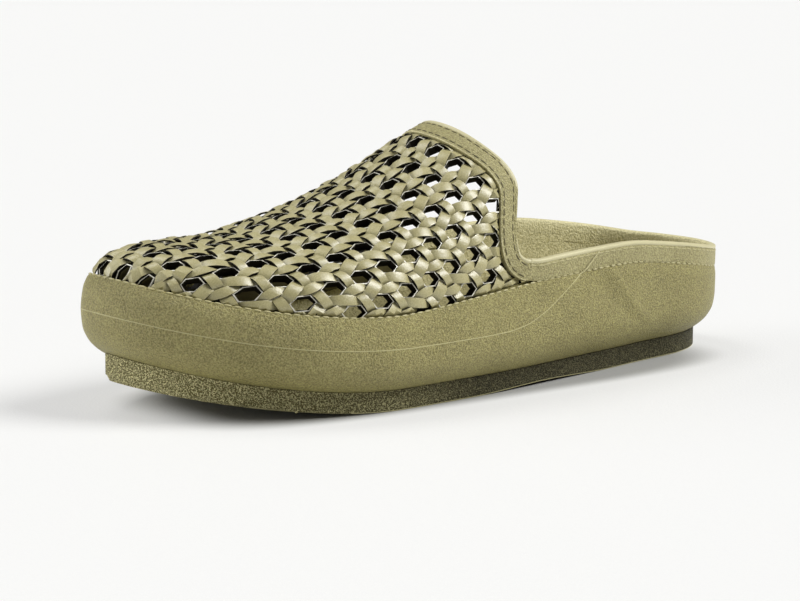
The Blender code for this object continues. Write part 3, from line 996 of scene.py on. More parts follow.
    def parting_path(self, side: Side) -> tuple[Array, Array]:
        """Follow the mould's parting line along one side.

        Args:
            side: Side of the shoe.

        Returns:
            Points on the sidewall and the direction away from it.
        """
        station = np.linspace(self.parting_station[0], 1.0, self.parting_points)
        ease = self.parting_ease
        station = 1.0 - (1.0 - station) ** ease / (1.0 - station[0]) ** (ease - 1.0)
        level = smooth(station, self.parting_station, self.parting_level)
        level = level + self.form.spring(station)
        top = self.form.seam_height(station)
        drop = (top - level) / (top - self.form.spring(station) - self.bottom)
        drop = np.clip(drop, 0.0, 1.0)
        half = self.form.fine_count // 2
        rows = np.arange(half + 1) if side is Side.LEFT else -np.arange(half + 1)
        spots = []
        for share, inset_drop, z in zip(station, drop, level):
            x, y, at = self.form.outline(
                float(self.wall_inset(share, inset_drop)), self.form.fine_count)
            spots.append([np.interp(share, at[rows], x[rows]), np.interp(share, at[rows], y[rows]), z])
        path = np.array(spots)
        along = unit(np.gradient(path, axis=0))
        out = unit(np.cross(along, (0.0, 0.0, 1.0)) * (-side.value))
        step = self.parting_step * ramp(level - top, -self.parting_blend, self.parting_blend)
        return path + out * step[:, None], out

    def build_parting(self, flash_and_edge_light: Material) -> None:
        """Raise the thin parting line on both sides.

        Args:
            flash_and_edge_light: Finish of the line.
        """
        for side in Side:
            path, out = self.parting_path(side)
            up = unit(np.cross(unit(np.gradient(path, axis=0)), out))
            half = self.parting_width / 2.0
            rows = [
                path - up * half - out * self.parting_root,
                path + out * self.parting_height,
                path + up * half - out * self.parting_root,
            ]
            points = np.stack(rows, axis=1).reshape(-1, 3)
            faces = Bench.sleeve(0, len(path), len(rows), capped=True)
            piece = Bench.joined(f"parting_line_{side.name.lower()}", points, faces)
            Bench.outwards(piece)
            Bench.finish(piece, flash_and_edge_light, "foam_side", angle=80.0)

    def build_rope(self, thread: Material) -> None:
        """Lay the moulded stitches along the seam, all round the shoe.

        Args:
            thread: Finish of the stitches.
        """
        form = self.form
        path = form.ring(
            lambda s: form.seam_inset(s) + self.rope_inset + self.rope_front_inset * form.front_share(s),
            form.seam_height, form.fine_count)
        share = form.front_share(form.station(path[:, 0]))[:, None]
        level = self.level_outward(form.fine_count) * (1.0 - self.rope_front_level * share)
        normal = unit(level + np.array([0.0, 0.0, self.rope_front_lift]) * share)
        piece = self.stitch.build("seam_stitches", path, normal, closed=True)
        Bench.finish(piece, thread, "foam_side", angle=60.0)


@dataclass(frozen=True)
class Footbed:
    """Contoured insole: heel seat, raised inner arch and a dished forefoot."""

    form: SoleForm
    inset: float = 1.3
    floor: float = 0.3
    station: Table = (0.0, 0.12, 0.30, 0.45, 0.65, 1.0)
    middle: Table = (21.5, 21.0, 22.5, 21.5, 17.5, 16.5)
    left_rise: Table = (3.5, 3.0, 2.0, 1.5, 1.0, 0.8)
    right_rise: Table = (3.5, 3.0, 4.5, 4.0, 1.0, 0.8)
    edge_power: float = 2.5
    count: int = 240
    edge: tuple[tuple[float, float], ...] = ((0.0, 1.2), (0.25, 0.4), (0.9, 0.0))
    shares: Table = (0.94, 0.86, 0.74, 0.6, 0.45, 0.3, 0.15, 0.0)

    def top(self, points: Array, border: Array) -> Array:
        """Height of the footbed under each point.

        Args:
            points: Places to read.
            border: Ring round the footbed.

        Returns:
            Heights in millimetres.
        """
        half = self.count // 2
        right = np.append(np.arange(half, self.count), 0)[::-1]
        left_y = np.interp(points[:, 0], border[:half + 1, 0], border[:half + 1, 1])
        right_y = np.interp(points[:, 0], border[right, 0], border[right, 1])
        width = np.maximum(left_y - right_y, 1e-3)
        side = np.clip((2.0 * points[:, 1] - left_y - right_y) / width, -1.0, 1.0)
        station = self.form.station(points[:, 0])
        rise = np.where(
            side > 0.0,
            smooth(station, self.station, self.left_rise),
            smooth(station, self.station, self.right_rise),
        )
        level = smooth(station, self.station, self.middle) + self.form.spring(station)
        return level + rise * np.abs(side) ** self.edge_power

    def build(self, material: Material, cup: CupSole) -> None:
        """Model the footbed.

        Args:
            material: Its finish.
            cup: Cup sole that it lies in.
        """
        form = self.form
        lift = self.floor
        base = form.ring(
            lambda s: form.lip_inset(s) + self.inset, lambda s: cup.floor(s) + lift, self.count)
        rings = [form.towards_spine(base, share) for share in reversed(self.shares)]
        rings.append(base)
        for inset, down in self.edge:
            ring = form.ring(
                lambda s, i=inset: form.lip_inset(s) + self.inset + i, cup.floor, self.count)
            ring[:, 2] = self.top(ring, base) - down
            rings.append(ring)
        rim = rings[-1]
        for share in self.shares:
            ring = form.towards_spine(rim, share)
            ring[:, 2] = self.top(ring, base)
            rings.append(ring)
        piece = Bench.tube("footbed", np.array(rings), fill_ends=False, join_ends=True)
        Bench.finish(piece, material, "foam_side", ("insole",))


@dataclass
class VampForm:
    """Outer surface of the vamp, measured along its crown and across each section."""

    form: SoleForm
    crown_x: Table = (-24.0, -14.0, 0.0, 26.0, 46.0, 66.0, 84.0)
    crown_height: Table = (97.3, 95.0, 90.8, 76.7, 67.3, 61.0, 57.2)
    crown_side: Table = (-3.0, -3.2, -3.8, -5.4, -7.0, -8.8, -10.5)
    toe_round_power: float = 3.4
    power_throat: float = 2.0
    power_toe: float = 2.5
    power_turn_x: float = 10.0
    power_turn_length: float = 60.0
    seat_gap: float = 0.5
    base_drop: float = 2.0
    margin: float = 7.0
    datum: float = -14.0
    throat_across: Table = (0.0, 8.0, 20.0, 30.0, 37.0, 44.0, 51.0, 58.0)
    throat_x: Table = (3.7, 3.0, 0.2, -3.8, -5.7, -3.8, -0.9, 0.3)
    leg_radius: float = 13.0
    leg_clear: float = 1.2
    leg_probe: float = 20.0
    columns: int = 361
    reach: float = 100.0
    rows: int = 401
    tip_step: float = 0.02
    crown_points: int = 900
    section_points: int = 64
    tail: float = 40.0

    def __post_init__(self) -> None:
        """Tabulate the surface, so that many points can be read from it at once."""
        form = self.form
        x, y, _ = form.outline(lambda s: form.lip_inset(s) + self.seat_gap, form.fine_count)
        toe, heel = int(np.argmax(x)), int(np.argmin(x))
        self.front = float(x.max())
        self.tip_side = float(y[toe])
        self.left = (x[heel:toe + 1], y[heel:toe + 1])
        right = np.append(np.arange(toe, len(x)), heel)[::-1]
        self.right = (x[right], y[right])
        line = np.linspace(self.crown_x[0], self.front, self.crown_points)
        steps = np.hypot(np.diff(line), np.diff(self.crown(line)[1]))
        distance = np.append(0.0, np.cumsum(steps))
        self.line = (line, distance - np.interp(self.datum, line, distance))
        self.span = self.front + self.tail
        place = self.front - self.span * np.linspace(0.0, 1.0, self.columns) ** 2
        place[0] = self.front - self.tip_step
        self.across = np.linspace(-self.reach, self.reach, self.rows)
        tables = [self.section_table(float(value)) for value in place]
        self.side_table = np.array([t[0] for t in tables])
        self.height_table = np.array([t[1] for t in tables])
        self.seam_table = np.array([t[2] for t in tables])
        probe = np.array([self.throat_x[-1] - self.leg_radius])
        self.leg_ends = {
            side: self.leg_probe - self.leg_clear
            + float(self.to_seam(probe, np.array([side.value * self.leg_probe]))[0])
            for side in Side
        }

    def base(self, x: Array | float) -> Array:
        """Height where the wall stands upright behind the lip."""
        return self.form.seam_height(self.form.station(x)) - self.base_drop

    def crown(self, x: Array) -> tuple[Array, Array]:
        """Side position and height of the crown at x.

        Args:
            x: Places along the shoe.

        Returns:
            Side positions and heights.
        """
        last = self.crown_x[-1]
        run = np.clip((x - last) / (self.front - last), 0.0, 1.0)
        side = smooth(x, self.crown_x, self.crown_side)
        side = side + (self.tip_side - self.crown_side[-1]) * run
        low = float(self.base(self.front))
        power = self.toe_round_power
        fall = (1.0 - run**power) ** (1.0 / power)
        height = smooth(x, self.crown_x, self.crown_height)
        return side, np.where(x <= last, height, low + (self.crown_height[-1] - low) * fall)

    def half_section(self, x: float, side: Side) -> tuple[Array, Array, Array]:
        """Half section from the crown to the foot of the margin, with its running length.

        Args:
            x: Place along the shoe.
            side: Side of the shoe.

        Returns:
            Side positions, heights and lengths from the crown.
        """
        middle, top = (float(value) for value in self.crown(np.array(x)))
        edge = float(np.interp(x, *(self.left if side is Side.LEFT else self.right)))
        base = min(float(self.base(x)), top)
        share = np.clip((x - self.power_turn_x) / self.power_turn_length, 0.0, 1.0)
        power = self.power_throat * (1.0 - share) + self.power_toe * share
        turn = np.linspace(0.0, math.pi / 2.0, self.section_points)
        y = np.append(middle + (edge - middle) * np.sin(turn) ** (2.0 / power), edge)
        z = base + (top - base) * np.cos(turn) ** (2.0 / power)
        z = np.append(z, base + self.base_drop - self.margin)
        length = np.append(0.0, np.cumsum(np.hypot(np.diff(y), np.diff(z))))
        return y, z, length

    def section_table(self, x: float) -> tuple[Array, Array, Array]:
        """Side, height and distance to the seam at equal steps across the section at x.

        Args:
            x: Place along the shoe.

        Returns:
            One row of each table.
        """
        left = self.half_section(x, Side.LEFT)
        right = self.half_section(x, Side.RIGHT)
        reach = self.across - left[0][0]
        on_left = reach >= 0.0
        far = np.abs(reach)
        y = np.where(on_left, np.interp(far, left[2], left[0]), np.interp(far, right[2], right[0]))
        z = np.where(on_left, np.interp(far, left[2], left[1]), np.interp(far, right[2], right[1]))
        end = np.where(on_left, left[2][-2], right[2][-2])
        return y, z, end - self.base_drop - far

    def sample(self, table: Array, x: Array, across: Array) -> Array:
        """Read a table between its columns and rows.

        Args:
            table: Values by place along and across.
            x: Places along the shoe.
            across: Distances across from the middle plane.

        Returns:
            The values at those places.
        """
        column = np.sqrt(np.clip((self.front - x) / self.span, 0.0, 1.0)) * (self.columns - 1)
        row = (np.clip(across, -self.reach, self.reach) + self.reach) / (2.0 * self.reach)
        row = row * (self.rows - 1)
        c = np.clip(column.astype(int), 0, self.columns - 2)
        r = np.clip(row.astype(int), 0, self.rows - 2)
        u, v = column - c, row - r
        near = table[c, r] * (1.0 - v) + table[c, r + 1] * v
        far = table[c + 1, r] * (1.0 - v) + table[c + 1, r + 1] * v
        return near * (1.0 - u) + far * u

    def along(self, s: Array) -> Array:
        """Position x of a distance along the crown."""
        line, distance = self.line
        return np.minimum(np.interp(s, distance, line), self.front - self.tip_step)

    def to_seam(self, x: Array, across: Array) -> Array:
        """Distance across the section that is left to the seam."""
        return self.sample(self.seam_table, x, across)

    def points(self, x: Array, across: Array) -> Array:
        """Points of the surface at x, a distance across from the middle plane.

        Args:
            x: Places along the shoe.
            across: Distances across from the middle plane.

        Returns:
            Points in millimetres.
        """
        y = self.sample(self.side_table, x, across)
        z = self.sample(self.height_table, x, across)
        return np.stack([x, y, z], axis=-1)

    def normals(self, x: Array, across: Array, step: float = 0.7) -> Array:
        """Directions away from the foot at points of the surface.

        Args:
            x: Places along the shoe.
            across: Distances across from the middle plane.
            step: Distance to the neighbours that give the slope.

        Returns:
            Unit vectors.
        """
        ahead = np.minimum(x + step, self.front - self.tip_step)
        run = self.points(ahead, across) - self.points(x - step, across)
        fall = self.points(x, across + step) - self.points(x, across - step)
        return unit(np.cross(run, fall))

    def back(self, across: Array, gap: float = 0.0) -> Array:
        """Position x of the throat's edge, swept back round the leg's corner.

        Args:
            across: Distances across from the middle plane.
            gap: Distance that is added round the corner.

        Returns:
            Places along the shoe.
        """
        end = np.where(across >= 0.0, self.leg_ends[Side.LEFT], self.leg_ends[Side.RIGHT])
        fall = np.clip(np.abs(across) - end + self.leg_radius, 0.0, None)
        run = np.sqrt(np.clip((self.leg_radius + gap) ** 2 - fall**2, 0.0, None))
        return smooth(np.abs(across), self.throat_across, self.throat_x) - self.leg_radius + run


@dataclass(frozen=True)
class StripChart:
    """One run of strip in hole pitches: middle line, half width, and height in millimetres."""

    along: Table
    across: Table
    half_width: Table
    height: Table

    def turned(self, along: float, across: float) -> "StripChart":
        """Give the same run after half a turn about a point of the chart.

        Args:
            along: Point's place along, in pitches.
            across: Point's place across, in pitches.

        Returns:
            The turned run.
        """
        return StripChart(
            tuple(2.0 * along - value for value in self.along),
            tuple(2.0 * across - value for value in self.across),
            self.half_width,
            self.height,
        )


DOME = StripChart(
    along=(-0.04, 0.10, 0.25, 0.50, 0.75, 0.90, 1.04),
    across=(0.365, 0.352, 0.330, 0.305, 0.330, 0.352, 0.365),
    half_width=(0.045, 0.088, 0.142, 0.172, 0.142, 0.088, 0.045),
    height=(-1.40, -0.62, 0.42, 0.98, 0.42, -0.62, -1.40),
)
FRONT_POST = StripChart(
    along=(0.50, 0.50, 0.50, 0.50, 0.50, 0.50, 0.50),
    across=(-0.62, -0.52, -0.38, -0.185, 0.01, 0.15, 0.25),
    half_width=(0.146, 0.154, 0.162, 0.166, 0.162, 0.154, 0.146),
    height=(-1.40, -0.40, 0.70, 1.12, 0.70, -0.40, -1.40),
)
RISING_BAR = StripChart(
    along=(0.50, 0.64, 0.78, 1.00, 1.22, 1.36, 1.50),
    across=(0.754, 0.683, 0.612, 0.500, 0.388, 0.317, 0.246),
    half_width=(0.165, 0.175, 0.187, 0.193, 0.187, 0.175, 0.165),
    height=(-1.40, -0.45, 0.60, 1.04, 0.60, -0.45, -1.40),
)
FALLING_BAR = StripChart(
    along=(-0.50, -0.36, -0.22, 0.00, 0.22, 0.36, 0.50),
    across=(0.246, 0.317, 0.388, 0.500, 0.612, 0.683, 0.754),
    half_width=(0.165, 0.175, 0.187, 0.193, 0.187, 0.175, 0.165),
    height=(-1.40, -0.45, 0.60, 1.04, 0.60, -0.45, -1.40),
)
STRIP_CHARTS: dict[Strip, StripChart] = {
    Strip.DOME: DOME,
    Strip.LEAF: DOME.turned(1.0, 0.5),
    Strip.FRONT_POST: FRONT_POST,
    Strip.REAR_POST: FRONT_POST.turned(1.0, 0.0),
    Strip.RISING_BAR: RISING_BAR,
    Strip.FALLING_BAR: FALLING_BAR,
}


@dataclass(frozen=True)
class WovenVamp:
    """Woven upper: a pierced wall and the strips that run over and under one another on it."""

    vamp: VampForm
    pitch_along: float = 11.55
    pitch_across: float = 10.95
    phase_along: float = 93.4
    phase_across: float = -0.3
    bow: float = 0.0055
    toe_lean: float = 0.42
    toe_lean_start: float = 3.0
    toe_lean_length: float = 1.6
    toe_fan: float = 0.3
    toe_fan_start: float = 4.0
    toe_fan_length: float = 1.0
    toe_fan_middle: float = 0.2
    toe_fan_reach: float = 1.5
    hole_half_length: float = 0.30
    hole_half_edge: float = 0.14
    hole_half_point: float = 0.265
    bar_half_edge: float = 0.17
    toe_close: float = 0.3
    toe_close_start: float = 3.4
    toe_close_end: float = 5.4
    toe_cover: float = 0.16
    base_level: float = -0.95
    wall: float = 2.5
    rim_bevel: float = 0.4
    throat_gap: float = 0.6
    hole_to_seam: float = 0.2
    hole_to_collar: float = 0.2
    rim_out: Table = (-0.08, -0.02, 0.42, 0.54)
    rim_rise: Table = (-0.4, 0.7, 0.7, -0.3)
    throat_snap: float = 0.8
    cells_along: range = range(-10, 8)
    cells_across: range = range(-8, 9)
    stations: int = 11
    section_across: Table = (-1.0, -0.94, -0.8, -0.42, 0.0, 0.42, 0.8, 0.94, 1.0)
    section_drop: Table = (0.32, 0.07, 0.03, 0.01, 0.0, 0.01, 0.03, 0.07, 0.32)
    strip_thickness: float = 0.3
    seam_fade: float = 1.0
    throat_fade: float = 1.6
    low_level: float = -0.6
    foot_level: float = 30.0
    inside_facing: float = -0.55
    weld: float = 0.1
    sliver: float = 0.05
    bevel_angle: float = 55.0
    station_ease: float = 0.55
    past_toe: float = 3.0
    past_seam: float = 3.0
    past_throat: float = 4.5
    throat_tuck: float = 1.2
    seam_lead: float = 0.4

    def place(self, along: Array, across: Array) -> tuple[Array, Array]:
        """Turn places in hole pitches into distances along the crown and across the vamp.

        Args:
            along: Places along, in pitches.
            across: Places across, in pitches.

        Returns:
            Distances in millimetres.
        """
        fan = np.clip((along - self.toe_fan_start) / self.toe_fan_length, 0.0, 1.0)
        lean = np.clip((along - self.toe_lean_start) / self.toe_lean_length, 0.0, 1.0)
        reach = self.toe_fan_reach
        along = along - self.toe_fan * fan * np.clip(across - self.toe_fan_middle, -reach, reach)
        t = self.phase_across + (across - self.toe_lean * lean) * self.pitch_across
        return self.phase_along + along * self.pitch_along - self.bow * t * t, t

    def build(
        self,
        strips: Material,
        base: Material,
        rim: Material,
        inside: Material,
    ) -> None:
        """Model the wall, the holes' edges and the strips.

        Args:
            strips: Finish of the strips.
            base: Near-black finish of the wall under them, painted shade.
            rim: Near-white finish of the holes' edges, a painted highlight.
            inside: Darkened finish of the wall's inner face, painted shade.
        """
        self.build_wall(base, inside)
        self.build_rims(rim, base)
        self.build_strips(strips, base)

    def wall_vertex(self, column: int, row: int) -> tuple[float, float]:
        """Place of a vertex of the pierced wall: four columns and three rows to a hole.

        Args:
            column: Number of the column.
            row: Number of the row.

        Returns:
            Places along and across, in pitches.
        """
        cell, part = divmod(column + 1, 4)
        size = self.hole_size(cell)
        half = self.hole_half_length * size
        along = cell + (-half, 0.0, half, 0.5)[part]
        row_cell, level = divmod(row, 3)
        edge, point = self.hole_half_edge * size, self.hole_half_point * size
        reach = (edge, point, edge, self.bar_half_edge)[part]
        return along, row_cell + (-0.5, -reach, reach)[level]

    def toe_share(self, along: float) -> float:
        """Give 0 over most of the vamp and 1 at the toe, where the weave closes up."""
        return float(ramp(along, self.toe_close_start, self.toe_close_end))

    def hole_size(self, along: float) -> float:
        """Size of a hole in shares of the usual one."""
        return 1.0 - self.toe_close * self.toe_share(along)

    def open_holes(self) -> list[tuple[int, int]]:
        """List the holes of the vamp that are clear of the seam, the collar and the toe's end.

        Returns:
            Numbers along and across of each hole.
        """
        vamp = self.vamp
        holes = []
        for along in self.cells_along:
            for across in self.cells_across:
                s, t = self.place(np.array([float(along)]), np.array([float(across)]))
                x = vamp.along(s)
                clear = vamp.to_seam(x, t)[0] > self.hole_to_seam
                clear = clear and (x - vamp.back(t, self.throat_gap))[0] > self.hole_to_collar
                if clear and s[0] < vamp.line[1][-1]:
                    holes.append((along, across))
        return holes

    def build_rims(self, material: Material, shade: Material) -> None:
        """Raise a thin edge round every hole, as one joined mesh, with a painted highlight on its top.

        Args:
            material: Near-white finish of the edge's top, a painted highlight.
            shade: Near-black finish of its sides, painted shade.
        """
        vamp = self.vamp
        half, edge, point = self.hole_half_length, self.hole_half_edge, self.hole_half_point
        corners = np.array([
            (half, edge), (0.0, point), (-half, edge), (-half, -edge), (0.0, -point), (half, -edge)])
        pitch = np.array([self.pitch_along, self.pitch_across])
        outward = unit(corners * pitch)
        points: list[Array] = []
        faces: Faces = []
        rows = len(self.rim_out)
        for number, hole in enumerate(self.open_holes()):
            for out, rise in zip(self.rim_out, self.rim_rise):
                spot = np.array(hole) + corners * self.hole_size(hole[0]) + outward * out / pitch
                s, t = self.place(spot[:, 0], spot[:, 1])
                x = np.maximum(vamp.along(s), vamp.back(t, self.throat_gap))
                lift = self.base_level + rise
                points.append(vamp.points(x, t) + vamp.normals(x, t) * lift)
            faces += Bench.sleeve(number * rows * len(corners), rows, len(corners), capped=False)
        piece = Bench.joined("hole_rims", np.vstack(points), faces)
        Bench.outwards(piece)
        Bench.finish(piece, material, "foam_weave", angle=30.0)
        row = np.arange(len(faces)) // len(corners) % rows
        # Painted shade: the rim's inner side and underside take the near-black wall finish
        Bench.inlay(piece, shade, (row == 0) | (row == rows - 1))

    def build_wall(self, material: Material, inside: Material) -> None:
        """Model the pierced wall that the strips lie on, out to seam and collar.

        Args:
            material: Near-black finish of the outer face and of the holes' walls, painted shade.
            inside: Darkened finish of the inner face, painted shade seen through the holes.
        """
        vamp = self.vamp
        columns = range(4 * self.cells_along.start, 4 * self.cells_along.stop)
        rows = range(3 * self.cells_across.start, 3 * self.cells_across.stop)
        chart = np.array([[self.wall_vertex(c, r) for r in rows] for c in columns])
        s, t = self.place(chart[..., 0], chart[..., 1])
        x = vamp.along(s)
        back = vamp.back(t, self.throat_gap)
        behind = x <= back + self.throat_snap
        ahead = s >= vamp.line[1][-1]
        x = np.where(behind, back, x)
        to_seam = vamp.to_seam(x, t)
        sunk = to_seam <= -self.vamp.margin
        points = vamp.points(x, t) + vamp.normals(x, t) * self.base_level
        count = len(rows)
        holes = set(self.open_holes())
        faces = []
        for c in range(len(columns) - 1):
            for r in range(count - 1):
                corners = ((c, r), (c + 1, r), (c + 1, r + 1), (c, r + 1))
                if any(all(flag[k] for k in corners) for flag in (behind, ahead, sunk)):
                    continue
                part = (columns[c] + 1) % 4
                cell = (columns[c] + 1) // 4
                if rows[r] % 3 == 1 and part < 2 and (cell, rows[r] // 3) in holes:
                    continue
                faces.append(tuple(a * count + b for a, b in corners))
        piece = Bench.joined("woven_wall", points.reshape(-1, 3), faces)
        Bench.open_all(piece)
        bpy.ops.mesh.remove_doubles(threshold=self.weld * MM)
        bpy.ops.mesh.dissolve_degenerate(threshold=self.sliver * MM)
        bpy.ops.mesh.delete_loose()
        bpy.ops.object.mode_set(mode="OBJECT")
        Bench.modify(piece, "SOLIDIFY", thickness=self.wall * MM, offset=-1.0, use_even_offset=False)
        Bench.modify(
            piece, "BEVEL", width=self.rim_bevel * MM, segments=2,
            limit_method="ANGLE", angle_limit=math.radians(self.bevel_angle))
        Bench.finish(piece, material, "foam_weave", ("upper",), angle=35.0)
        centre = Bench.face_table(piece, "center") / MM
        centre[:, 0] = 0.0
        centre[:, 2] -= self.foot_level
        facing = np.sum(unit(centre) * Bench.face_table(piece, "normal"), axis=1)
        # Painted shade: the faces that look toward the foot take the darkened inner finish
        Bench.inlay(piece, inside, facing < self.inside_facing)

    def strip_template(self, chart: StripChart, cover: float) -> tuple[Array, Array, Array]:
        """Draw one strip in the chart: places along and across, and heights, ring by ring.

        Args:
            chart: Run of strip that is drawn.
            cover: Width of the strip in shares of the usual one.

        Returns:
            Places along and across in pitches and heights in millimetres, each with one row
            for a station and one column for a point of the section.
        """
        share = np.linspace(0.0, 1.0, len(chart.along))
        fine = 0.5 - 0.5 * np.cos(np.linspace(0.0, math.pi, self.stations))
        even = np.linspace(0.0, 1.0, self.stations)
        fine = self.station_ease * fine + (1.0 - self.station_ease) * even
        along = smooth(fine, tuple(share), chart.along) * self.pitch_along
        across = smooth(fine, tuple(share), chart.across) * self.pitch_across
        width = smooth(fine, tuple(share), chart.half_width)
        width = width * cover * 0.5 * (self.pitch_along + self.pitch_across)
        height = smooth(fine, tuple(share), chart.height)
        direction = unit(np.stack([np.gradient(along), np.gradient(across)], axis=-1))
        offsets = np.array(self.section_across + (self.section_across[-2], self.section_across[1]))
        drops = np.array(self.section_drop)
        under = self.section_drop[0] + self.strip_thickness
        drops = np.append(drops, (under, under))
        u = along[:, None] - direction[:, 1:2] * width[:, None] * offsets[None, :]
        w = across[:, None] + direction[:, 0:1] * width[:, None] * offsets[None, :]
        h = height[:, None] - drops[None, :]
        return u / self.pitch_along, w / self.pitch_across, h

    def build_strips(self, material: Material, shade: Material) -> None:
        """Lay every run of strip on the vamp, as one joined mesh.

        Args:
            material: Finish of the strips' faces.
            shade: Near-black finish of their cut sides and ends, painted shade that outlines each strip.
        """
        vamp = self.vamp
        points: list[Array] = []
        faces: Faces = []
        ring = len(self.section_across) + 2
        middle = (self.stations // 2, len(self.section_across) // 2)
        for chart in STRIP_CHARTS.values():
            for i in range(self.cells_along.start // 2, self.cells_along.stop // 2 + 1):
                cover = 1.0 + self.toe_cover * self.toe_share(2 * i + chart.along[3])
                u, w, h = self.strip_template(chart, cover)
                for j in self.cells_across:
                    s, t = self.place(u + 2 * i, w + j)
                    x = vamp.along(s)
                    back = vamp.back(t, self.throat_gap)
                    to_seam = vamp.to_seam(x, t)
                    start, end = vamp.line[1][0], vamp.line[1][-1] + self.past_toe
                    if to_seam[middle] < -self.past_seam or not start <= s[middle] <= end:
                        continue
                    if x[middle] < back[middle] - self.past_throat:
                        continue
                    hold = np.maximum(x, back - self.throat_tuck)
                    fade = ramp(to_seam, -self.seam_lead, self.seam_fade)
                    fade = fade * ramp(x - back, 0.0, self.throat_fade)
                    level = self.low_level + (h - self.low_level) * fade
                    level = np.where(h < self.low_level, h, level)
                    spots = vamp.points(hold, t) + vamp.normals(hold, t) * level[..., None]
                    first = len(points) * self.stations * ring
                    faces += self.strip_faces(first, ring)
                    points.append(spots.reshape(-1, 3))
        log.info("strips laid: %d", len(points))
        piece = Bench.joined("woven_strips", np.vstack(points), faces)
        Bench.outwards(piece)
        Bench.finish(piece, material, "foam_weave", angle=25.0)
        # Painted shade: the bevels, sides, underside and ends of every strip take the near-black wall
        # finish
        edges = (0, *range(len(self.section_across) - 2, ring))
        sides = [k in edges for _ in range(self.stations - 1) for k in range(ring)]
        Bench.inlay(piece, shade, np.tile(np.array(sides + [True, True]), len(points)))

    def strip_faces(self, first: int, ring: int) -> Faces:
        """List one strip's faces, which run the other way round than a sleeve's.

        Args:
            first: Number of its first vertex.
            ring: Number of points in its section.

        Returns:
            Corner numbers of every face, its two ends last.
        """
        faces: Faces = []
        for r in range(self.stations - 1):
            low, high = first + r * ring, first + (r + 1) * ring
            for k in range(ring):
                n = (k + 1) % ring
                faces.append((low + k, high + k, high + n, low + n))
        last = first + (self.stations - 1) * ring
        faces.append(tuple(first + k for k in range(ring)))
        faces.append(tuple(last + k for k in reversed(range(ring))))
        return faces


